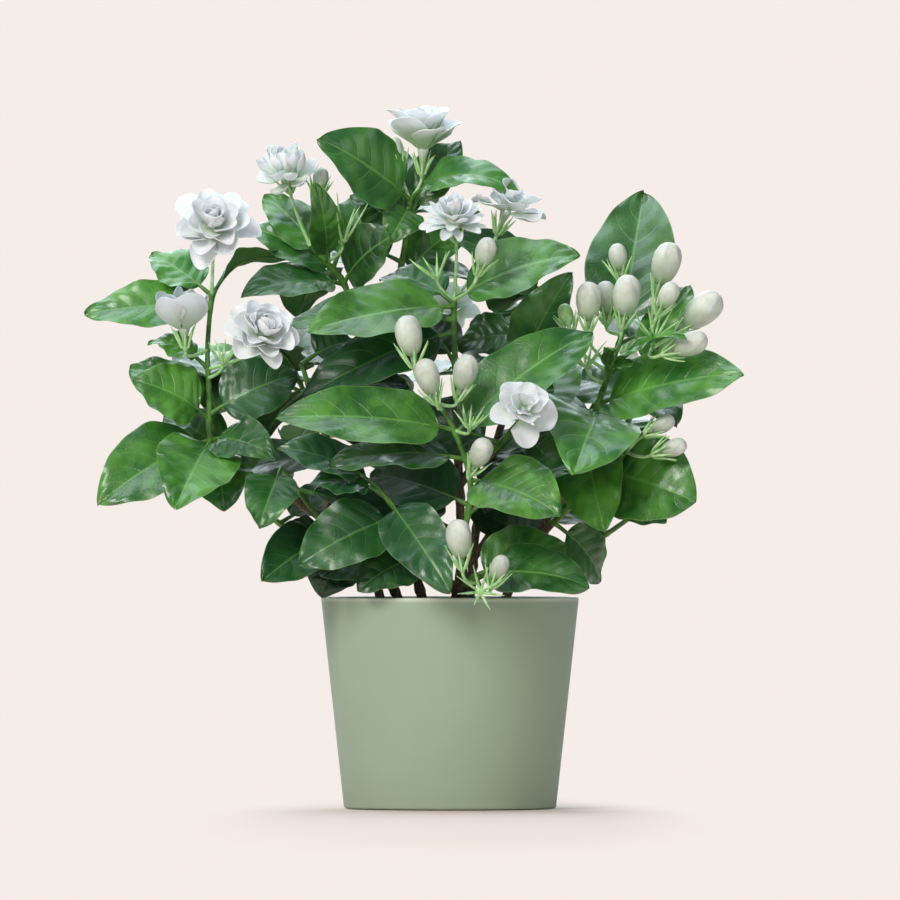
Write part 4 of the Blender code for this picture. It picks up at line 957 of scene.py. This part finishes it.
# How much paler some leaves are painted than their place on the bush would make them (darker below
# zero): partly younger leaves, partly painted light and painted shade
YOUTH_AND_PAINTED_LIGHT = {
    "right": {0: 0.5, 3: 0.9, 1: -0.6},
    "centre": {0: -0.15, 3: -0.5},
    "middle": {2: -0.1, 3: -0.2},
    "front_left": {0: -0.3, 1: -0.3, 2: -0.25, 4: -0.3, 5: -0.3},
    "lower_left": {0: -0.4, 1: -0.5, 2: -0.5, 3: -0.2, 4: -0.5, 5: -0.5},
    "left": {0: -0.1, 3: -0.3, 10: -0.4},
    "inner_left": {0: -0.5, 1: -0.4},
    "top": {0: 0.15, 2: 0.2},
}


def sheet_master(name, columns, rows):
    """A flat sheet with a thickness, two units wide and one long, from which leaves or petals are laid."""
    bpy.ops.object.select_all(action="DESELECT")
    bpy.ops.mesh.primitive_grid_add(x_subdivisions=columns, y_subdivisions=rows, size=2.0)
    made = bpy.context.object
    made.name = name
    bpy.ops.object.mode_set(mode="EDIT")
    bpy.ops.mesh.select_all(action="SELECT")
    bpy.ops.transform.resize(value=(1.0, 0.5, 1.0), center_override=(0.0, 0.0, 0.0))
    bpy.ops.transform.translate(value=(0.0, 0.5, 0.0))
    bpy.ops.object.mode_set(mode="OBJECT")
    apply_modifier(made, "SOLIDIFY", thickness=1.0, offset=0.0)
    return made


def map_sheet(master):
    """Sets the sheet's UV map from the places of its points."""
    for corner, spot in zip(master.data.loops, master.data.uv_layers[0].data):
        vert = master.data.vertices[corner.vertex_index].co
        spot.uv = ((vert.x + 1) / 2, vert.y)


def mesh_points(mesh):
    points = np.zeros(len(mesh.vertices) * 3)
    mesh.vertices.foreach_get("co", points)
    return points.reshape(-1, 3)


def smooth_step(value, low, high):
    share = np.clip((value - low) / (high - low), 0, 1)
    return share * share * (3 - 2 * share)


def grow_blade(way, leaf, youth_and_light, draw):
    """A leaf's blade: a copy of the master laid over the leaf's run, folded, arched, puckered and waved."""
    base, run, normal, side, length = leaf_axes(way, leaf)
    at, tip, width, wave, face, arch = leaf
    across, share, layer = LEAF_POINTS.T
    foot = PETIOLE / length
    place = foot + (1 - foot) * share
    half = width / 2 * share**0.45 * (1 - share) ** 0.75 / 0.452
    half = np.maximum(half, PETIOLE_WIDTH / 2 * (1 - 5 * share)) + 0.12
    reach = np.abs(across)
    fold = np.sqrt(across**2 + 0.01) - 0.1 - 0.1 * reach**3
    rise = arch * 4 * place * (1 - place) + fold * half * LEAF_FOLD
    rise += reach * LEAF_WAVE * np.sin(math.tau * 1.7 * share + wave + across) * smooth_step(share, 0, 0.1)
    rise += reach**3 * draw.uniform(0.3, 0.7) * np.sin(math.tau * 4.3 * share + 2 * wave - 2 * across)
    between = SIDE_VEINS * (share - VEIN_SLOPE * reach - VEIN_CURVE * reach**2)
    bulge = 0.5 + 0.5 * np.cos(math.tau * between)
    rise += PUCKER * bulge * smooth_step(reach, 0.02, 0.3) * (1 - smooth_step(reach, 0.7, 1.0))
    for bend, turn in ((6.0, 2.2), (9.5, -3.1), (15.0, 4.5)):
        rise += 4.2 / bend * np.sin(bend * share + turn * across + draw.uniform(0, math.tau)) * reach * share
    rise -= 1.4 * smooth_step(share, 0.8, 1.0) * draw.uniform(0.2, 1.0)
    rise += layer * LEAF_THICKNESS * (1 - 0.45 * reach**2)
    points = np.array(base) + np.outer(place, run) + np.outer(across * half, side) + np.outer(rise, normal)
    made = copy_of(leaf_master, Matrix(), points * MM)
    tones = np.ones((len(points), 4))
    tones[:, 0] = draw.random()
    tones[:, 1] = layer < 0
    # Brightness by place: darker towards the inside and the bottom of the bush, partly as older leaves and
    # partly as painted shade
    out = math.hypot(tip[0] - BUSH_MIDDLE[0], tip[1] - BUSH_MIDDLE[1]) / BUSH_RADIUS
    high = (tip[2] - BUSH_MIDDLE[2]) / BUSH_HEIGHT
    tones[:, 2] = np.clip(0.85 * out - 0.2 + high + youth_and_light + draw.uniform(-0.28, 0.28), 0, 1)
    add_tone(made, tones)
    return made


def own_map(tree):
    """A piece's UV map, whole and in parts."""
    surface = add_node(tree, "ShaderNodeUVMap", uv_map="UVMap").outputs[0]
    return surface, add_node(tree, "ShaderNodeSeparateXYZ", {0: surface}).outputs


leaf_master = sheet_master("leaf_master", LEAF_COLUMNS, LEAF_ROWS)
for vert in leaf_master.data.vertices:
    even = vert.co.y
    vert.co.y = 0.5 * even + 0.25 * (1 - math.cos(math.pi * even))
map_sheet(leaf_master)
LEAF_POINTS = mesh_points(leaf_master.data)

leaf_skin, tree, shader, place = plain_material("glossy_leaf", (0.06, 0.23, 0.02), 0.34, coat_roughness=0.24)
surface, split = own_map(tree)
tone = tone_parts(tree)
reach = math_node(tree, "ABSOLUTE", math_node(tree, "MULTIPLY_ADD", split["X"], 2.0, -1.0))
slope = math_node(tree, "MULTIPLY_ADD", reach, VEIN_CURVE, VEIN_SLOPE)
start = math_node(tree, "SUBTRACT", split["Y"], math_node(tree, "MULTIPLY", slope, reach))
phase = math_node(tree, "FRACT", math_node(tree, "MULTIPLY", start, SIDE_VEINS))
off_vein = math_node(tree, "ABSOLUTE", math_node(tree, "SUBTRACT", phase, 0.5))
inner_part = ramp(tree, reach, 0.4, 0.9, 1.0, 0.0)
side_vein = math_node(tree, "MULTIPLY", ramp(tree, off_vein, 0.0, 0.07, 1.0, 0.0), inner_part)
midrib = ramp(tree, reach, 0.01, 0.06, 1.0, 0.0)
cells = add_node(tree, "ShaderNodeMapping", {"Vector": surface, "Scale": (0.5, 1.0, 1.0)}).outputs[0]
web = add_node(
    tree,
    "ShaderNodeTexVoronoi",
    {"Vector": cells, "Scale": 34.0},
    feature="DISTANCE_TO_EDGE",
    voronoi_dimensions="2D",
).outputs["Distance"]
web = ramp(tree, web, 0.0, 0.12, 1.0, 0.0)
old = add_mottle(tree, place, (0.003, 0.026, 0.005), (0.02, 0.11, 0.013), 60.0)[0]
young, cloud = add_mottle(tree, place, (0.025, 0.15, 0.009), (0.14, 0.42, 0.034), 60.0)
# The blend from old to young green carries painted light and painted shade as well as leaf age
flesh = blend_colour(tree, tone["Blue"], old, young)
flesh = blend_colour(tree, math_node(tree, "MULTIPLY", tone["Red"], 0.45), flesh, (0.02, 0.16, 0.045))
flesh = blend_colour(tree, math_node(tree, "MULTIPLY", web, 0.07), flesh, (0.12, 0.34, 0.06))
flesh = blend_colour(tree, math_node(tree, "MULTIPLY", side_vein, 0.16), flesh, (0.2, 0.45, 0.1))
flesh = blend_colour(tree, math_node(tree, "MULTIPLY", midrib, 0.42), flesh, (0.22, 0.5, 0.11))
flesh = blend_colour(tree, ramp(tree, reach, 0.95, 1.0, 0.0, 0.3), flesh, (0.3, 0.5, 0.16))
below = blend_colour(tree, midrib, (0.07, 0.2, 0.04), (0.2, 0.4, 0.12))
skin = blend_colour(tree, tone["Green"], flesh, below)
# Painted shade: the leaves inside the bush are painted darker, as shade falls there, and are duller
inputs = {"Vector": place, "Scale": INNER_STRETCH, "Location": INNER_SHIFT}
inner = add_node(tree, "ShaderNodeMapping", inputs).outputs[0]
depth = add_node(tree, "ShaderNodeVectorMath", {0: inner}, operation="LENGTH").outputs["Value"]
painted_inner_shade = ramp(tree, depth, 0.35, 0.95, 0.85, 0.0)
skin = blend_colour(tree, painted_inner_shade, skin, (0.004, 0.03, 0.006))
tree.links.new(skin, shader.inputs["Base Color"])
gloss = math_node(tree, "MULTIPLY_ADD", tone["Green"], 0.3, ramp(tree, cloud, 0.3, 0.7, 0.3, 0.42))
tree.links.new(gloss, shader.inputs["Roughness"])
coat = math_node(tree, "MULTIPLY_ADD", tone["Green"], -0.6, 0.6)
coat = math_node(tree, "MULTIPLY", coat, ramp(tree, depth, 0.4, 0.95, 0.1, 1.0))
tree.links.new(coat, shader.inputs["Coat Weight"])
furrow = math_node(tree, "MULTIPLY", math_node(tree, "MAXIMUM", side_vein, midrib), -1.0)
furrow = math_node(tree, "MULTIPLY_ADD", web, -0.25, furrow)
fine = noise_height(tree, place, 700.0, 2.0)
add_bump(tree, shader, math_node(tree, "MULTIPLY_ADD", fine, 0.25, furrow), 0.4, 0.0005)

for name, (way, leaves, flowers) in SHOOTS.items():
    draw = random.Random("blades_" + name)
    youth_and_light = YOUTH_AND_PAINTED_LIGHT.get(name, {})
    grown = [grow_blade(way, leaf, youth_and_light.get(k, 0), draw) for k, leaf in enumerate(leaves)]
    blades = join_all(grown, "leaves_" + name)
    blades.data.materials.append(leaf_skin)
    bpy.ops.object.shade_smooth_by_angle(angle=math.radians(50))
    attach(blades, "root")
    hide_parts("leafy_shoot_" + name)
bpy.data.objects.remove(leaf_master)

# The buds: closed cream-white corollas, blunt, oblong heads of tightly furled petals on short tubes,
# each standing in its calyx cup. One small bud is still green and belongs to its shoot.
BUD_LENGTH = 24.0
BUD_RADIUS = 6.5
BUD_TUBE = 0.17
TUBE_RADIUS = 1.1
SEAT_GAP = 0.3
FURL_RIDGES = 5
TUBE_SHARE = 0.16

bpy.ops.object.select_all(action="DESELECT")
bpy.ops.mesh.primitive_uv_sphere_add(segments=40, ring_count=32, radius=1.0)
turned_master = bpy.context.object
turned_master.name = "turned_master"
for corner, spot in zip(turned_master.data.loops, turned_master.data.uv_layers[0].data):
    vert = turned_master.data.vertices[corner.vertex_index].co
    spot.uv.y = math.acos(max(-1.0, min(1.0, -vert.z))) / math.pi
SPHERE_POINTS = mesh_points(turned_master.data)


def turned_copy(name, spot, shape):
    """A copy of the turned master. The shape gives radius and height by share of the way up and angle."""
    share = np.arccos(np.clip(-SPHERE_POINTS[:, 2], -1, 1)) / math.pi
    angle = np.arctan2(SPHERE_POINTS[:, 1], SPHERE_POINTS[:, 0])
    radius, height = shape(share, angle)
    points = np.stack([radius * np.cos(angle), radius * np.sin(angle), height], axis=1)
    made = copy_of(turned_master, Matrix.Scale(MM, 4) @ spot, points)
    made.name = name
    return made


def bud_shape(size, draw):
    """The tube and the furled head of a bud, with a spiral edge for each petal."""
    length, widest = BUD_LENGTH * size, BUD_RADIUS * size
    twist = draw.uniform(0.9, 1.5)
    turn = draw.uniform(0, math.tau)

    def shape(share, angle):
        tube = BUD_TUBE * length
        head = np.clip((share - TUBE_SHARE) / (1 - TUBE_SHARE), 0, 1)
        height = np.where(share < TUBE_SHARE, share / TUBE_SHARE * tube, 0)
        height = np.where(head > 0, tube + (length - tube) * (1 - np.cos(math.pi * head)) / 2, height)
        bulb = np.sin(math.pi * head) ** 0.9 * (1.0 - 0.1 * np.cos(math.pi * head)) / 1.03
        ridge = np.mod((angle + turn) * FURL_RIDGES / math.tau + twist * head, 1.0)
        edge = (ridge - 0.5) * 0.13 * smooth_step(head, 0.3, 0.75)
        radius = np.maximum(widest * bulb * (1 + edge), TUBE_RADIUS * (1 - head) ** 0.3)
        radius = np.where(share <= 0, 0.0, radius)
        radius = np.where(share >= 1 - 1e-6, 0.0, radius)
        return radius, height * (1 - SEAT_GAP / length) + SEAT_GAP

    return shape


bud_skin, tree, shader, place = plain_material(
    "cream_bud", (0.7, 0.7, 0.6), 0.44, subsurface_weight=0.2, subsurface_scale=0.001
)
surface, split = own_map(tree)
up = split["Y"]
cream = add_mottle(tree, place, (0.52, 0.56, 0.48), (0.76, 0.79, 0.72), 110.0)[0]
# The lower part of the bud is painted darker green: partly its green base, partly painted shade towards the
# bottom
green_and_shaded_foot = blend_colour(tree, ramp(tree, up, 0.15, 0.85, 0.95, 0.0), cream, (0.32, 0.43, 0.25))
tip_tint = blend_colour(tree, ramp(tree, up, 0.8, 0.97, 0.0, 0.4), green_and_shaded_foot, (0.72, 0.66, 0.6))
tree.links.new(tip_tint, shader.inputs["Base Color"])
drawn = add_node(tree, "ShaderNodeMapping", {"Vector": surface, "Scale": (60.0, 4.0, 1.0)}).outputs[0]
add_bump(tree, shader, noise_height(tree, drawn, 1.0, 3.0), 0.5, 0.0005)

number = 0
for name, (way, leaves, flowers) in SHOOTS.items():
    for kind, at, seat, aim, size, lobe in flowers:
        if kind not in ("bud", "green_bud"):
            continue
        draw = random.Random(str(seat))
        spot = towards(seat, Vector(aim).normalized())
        if kind == "bud":
            number += 1
            bud = turned_copy(f"furled_bud_{number:02d}", spot, bud_shape(size, draw))
            bud.data.materials.append(bud_skin)
        else:
            bud = turned_copy("green_bud", spot, bud_shape(size, draw))
            bud.data.materials.append(calyx_green)
        select_only(bud)
        bpy.ops.object.shade_smooth_by_angle(angle=math.radians(70))
        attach(bud, "root")
        if kind == "bud":
            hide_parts(f"bud_{number:02d}")

# The blooms: white corollas, a slim tube that opens in crowded layers of soft, spoon-shaped petals,
# widest in the outer layer and small in the middle. Each is one piece that stands in its calyx cup.
PETAL_COLUMNS = 6
PETAL_ROWS = 7
PETAL_THICKNESS = 0.4
PETAL_ROLL = 0.2
THROAT_RADIUS = 3.0
DOME_STEP = 1.35
DOME_SHRINK = 0.72
# Each kind of bloom: the length of its tube, the ruffle, hollow, painted shade and greenness of its petals,
# and its layers of petals from the outside in (number, first tilt, last tilt, length, width)
BLOOMS = {
    "double": (
        (9.0, 0.6, 0.5, 0.0, 0.15),
        (7, 76, 92, 17.5, 13.5),
        (7, 60, 66, 15.5, 12.5),
        (6, 42, 44, 14.0, 11.0),
        (5, 24, 22, 12.5, 9.5),
        (3, 8, 6, 11.0, 8.0),
    ),
    "knobs": (
        (8.0, 0.3, 0.75, 0.0, 0.5),
        (6, 88, 74, 17.0, 10.0),
        (6, 66, 48, 17.0, 10.0),
        (5, 40, 20, 16.5, 9.5),
        (2, 12, -4, 15.0, 9.0),
    ),
    "narrow": (
        (9.0, 0.3, 0.3, 0.08, 0.2),
        (11, 74, 96, 16.5, 6.6),
        (10, 56, 66, 15.5, 6.2),
        (10, 36, 40, 14.5, 5.8),
        (8, 14, 14, 13.5, 5.2),
    ),
    "funnel": (
        (10.0, 1.0, 0.16, 0.0, 1.0),
        (7, 33, 68, 22.5, 18.5),
        (6, 21, 52, 21.0, 15.0),
        (5, 8, 30, 18.0, 11.0),
    ),
    "cup": ((8.0, 1.0, 0.2, 0.5, 0.35), (5, 38, 2, 22.5, 19.0), (4, 24, -4, 20.5, 14.0)),
    "loose": (
        (9.0, 2.2, 0.2, 0.16, 0.2),
        (5, 66, 98, 17.0, 16.0),
        (5, 40, 62, 14.5, 12.5),
        (4, 12, 34, 12.0, 9.5),
    ),
}
CLAW = ((0.0, 0.4), (0.3, 0.72), (0.55, 1.0), (1.0, 1.0))

petal_master = sheet_master("petal_master", PETAL_COLUMNS, PETAL_ROWS)
map_sheet(petal_master)
for vert in petal_master.data.vertices:
    across, up = vert.co.x, 2 * vert.co.y - 1
    vert.co.x = across * math.sqrt(1 - up**2 / 2) * np.interp(vert.co.y, *zip(*CLAW))
    vert.co.y = 0.5 + 0.5 * up * math.sqrt(1 - across**2 / 2)
PETAL_POINTS = mesh_points(petal_master.data)


def grow_petal(spot, layer, turn, start, size, manner, draw):
    """A petal: a copy of the master, tilted out from the flower's axis, hollowed like a spoon and ruffled."""
    first_tilt, last_tilt, length, width = layer
    ruffle, hollow, painted_shade, greenness = manner
    across, share, side = PETAL_POINTS.T
    tilt = np.radians(first_tilt + (last_tilt - first_tilt) * share / 2)
    half = across * size * width / 2
    ruffle = ruffle * size
    seed = draw.uniform(0, 100)
    lift = half * PETAL_ROLL * draw.choice((-1, 1))
    lift += width * size * hollow * draw.uniform(0.7, 1.3) * (across**2 - 0.25) * share
    lift += length * size * draw.uniform(-0.2, 1.0) * hollow * 2 * np.clip(share - 0.5, 0, 1) ** 2
    lift += ruffle * 0.6 * share**2 * np.sin(across * 3.1 + seed) * np.sin(share * 5 + seed * 1.7)
    lift += ruffle * 0.7 * np.abs(across) ** 2 * share * np.sin(share * 11 + seed * 2.3 + across)
    lift += side * PETAL_THICKNESS * (1 - 0.4 * across**2)
    out = start[0] + size * length * share * np.sin(tilt) - lift * np.cos(tilt)
    up = start[1] + size * length * share * np.cos(tilt) + lift * np.sin(tilt)
    points = np.stack([out, half, up], axis=1)
    made = copy_of(petal_master, Matrix.Scale(MM, 4) @ spot @ Matrix.Rotation(turn, 4, "Z"), points)
    add_tone(made, (painted_shade + draw.uniform(0, 0.12), greenness, 0.0, 1.0))
    return made


def bloom_tube(length):
    """The slim tube of a bloom, widening to its throat and closed by a low dome."""

    def shape(share, angle):
        height = np.interp(share, (0, 0.03, 0.6, 0.85, 1.0), (0, 0, length, length + 3.2, length + 4.0))
        radius = np.interp(share, (0, 0.03, 0.3, 0.6, 0.8, 1.0), (0, 1.1, 1.5, 2.9, 1.8, 0.0))
        return radius, height + SEAT_GAP

    return shape


petal_skin, tree, shader, place = plain_material(
    "white_petal",
    (0.86, 0.87, 0.9),
    0.55,
    subsurface_weight=0.4,
    subsurface_scale=0.002,
    subsurface_radius=(0.8, 0.9, 1.0),
)
surface, split = own_map(tree)
up = split["Y"]
white = add_mottle(tree, place, (0.85, 0.9, 0.95), (0.96, 0.98, 1.0), 190.0)[0]
# Painted shade: the petals are painted bluish grey towards their bases, deep in the bloom where shade falls
painted_base_shade = blend_colour(tree, ramp(tree, up, 0.05, 0.5, 0.3, 0.0), white, (0.64, 0.69, 0.78))
foot = blend_colour(tree, ramp(tree, up, 0.0, 0.55, 0.95, 0.0), painted_base_shade, (0.42, 0.55, 0.27))
tone = tone_parts(tree)
# Painted shade: some kinds of bloom are painted greyer all over, as if in shade, with a random amount more
# for each petal
with_painted_shade = blend_colour(tree, tone["Red"], foot, (0.36, 0.42, 0.44))
flush = math_node(tree, "MULTIPLY", tone["Green"], ramp(tree, up, 0.35, 0.9, 0.8, 0.0))
greened = blend_colour(tree, flush, with_painted_shade, (0.34, 0.5, 0.27))
tree.links.new(greened, shader.inputs["Base Color"])
drawn = add_node(tree, "ShaderNodeMapping", {"Vector": surface, "Scale": (22.0, 2.0, 1.0)}).outputs[0]
add_bump(tree, shader, noise_height(tree, drawn, 1.0, 2.0), 0.3, 0.0005)

number = 0
for name, (way, leaves, flowers) in SHOOTS.items():
    for kind, at, seat, aim, size, lobe in flowers:
        if kind not in BLOOMS:
            continue
        number += 1
        draw = random.Random(f"bloom_{number:02d}")
        spot = towards(seat, Vector(aim).normalized())
        (tube_length, *manner), *layers = BLOOMS[kind]
        tube_length *= size
        tube = turned_copy("corolla_tube", spot, bloom_tube(tube_length))
        # The tube gets its kind's painted shade too
        add_tone(tube, (manner[2], 1.0, 0.0, 1.0))
        pieces = [tube]
        radius = THROAT_RADIUS
        for level, (petals, low, high, length, width) in enumerate(layers):
            start = (radius * (1 + DOME_SHRINK) / 2, tube_length + DOME_STEP * (level + 0.5))
            radius *= DOME_SHRINK
            first_turn = draw.uniform(0, math.tau)
            for k in range(petals):
                turn = first_turn + math.tau * (k + draw.uniform(-0.16, 0.16)) / petals
                swing = draw.uniform(-12, 12)
                longer, wider = draw.uniform(0.8, 1.04), draw.uniform(0.78, 1.08)
                formed = (low + swing, high + swing, length * longer, width * wider)
                pieces.append(grow_petal(spot, formed, turn, start, size, manner, draw))
        bloom = join_all(pieces, f"white_bloom_{number:02d}")
        bloom.data.materials.append(petal_skin)
        bpy.ops.object.shade_smooth_by_angle(angle=math.radians(50))
        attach(bloom, "root")
        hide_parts(f"bloom_{number:02d}")
bpy.data.objects.remove(petal_master)
bpy.data.objects.remove(turned_master)
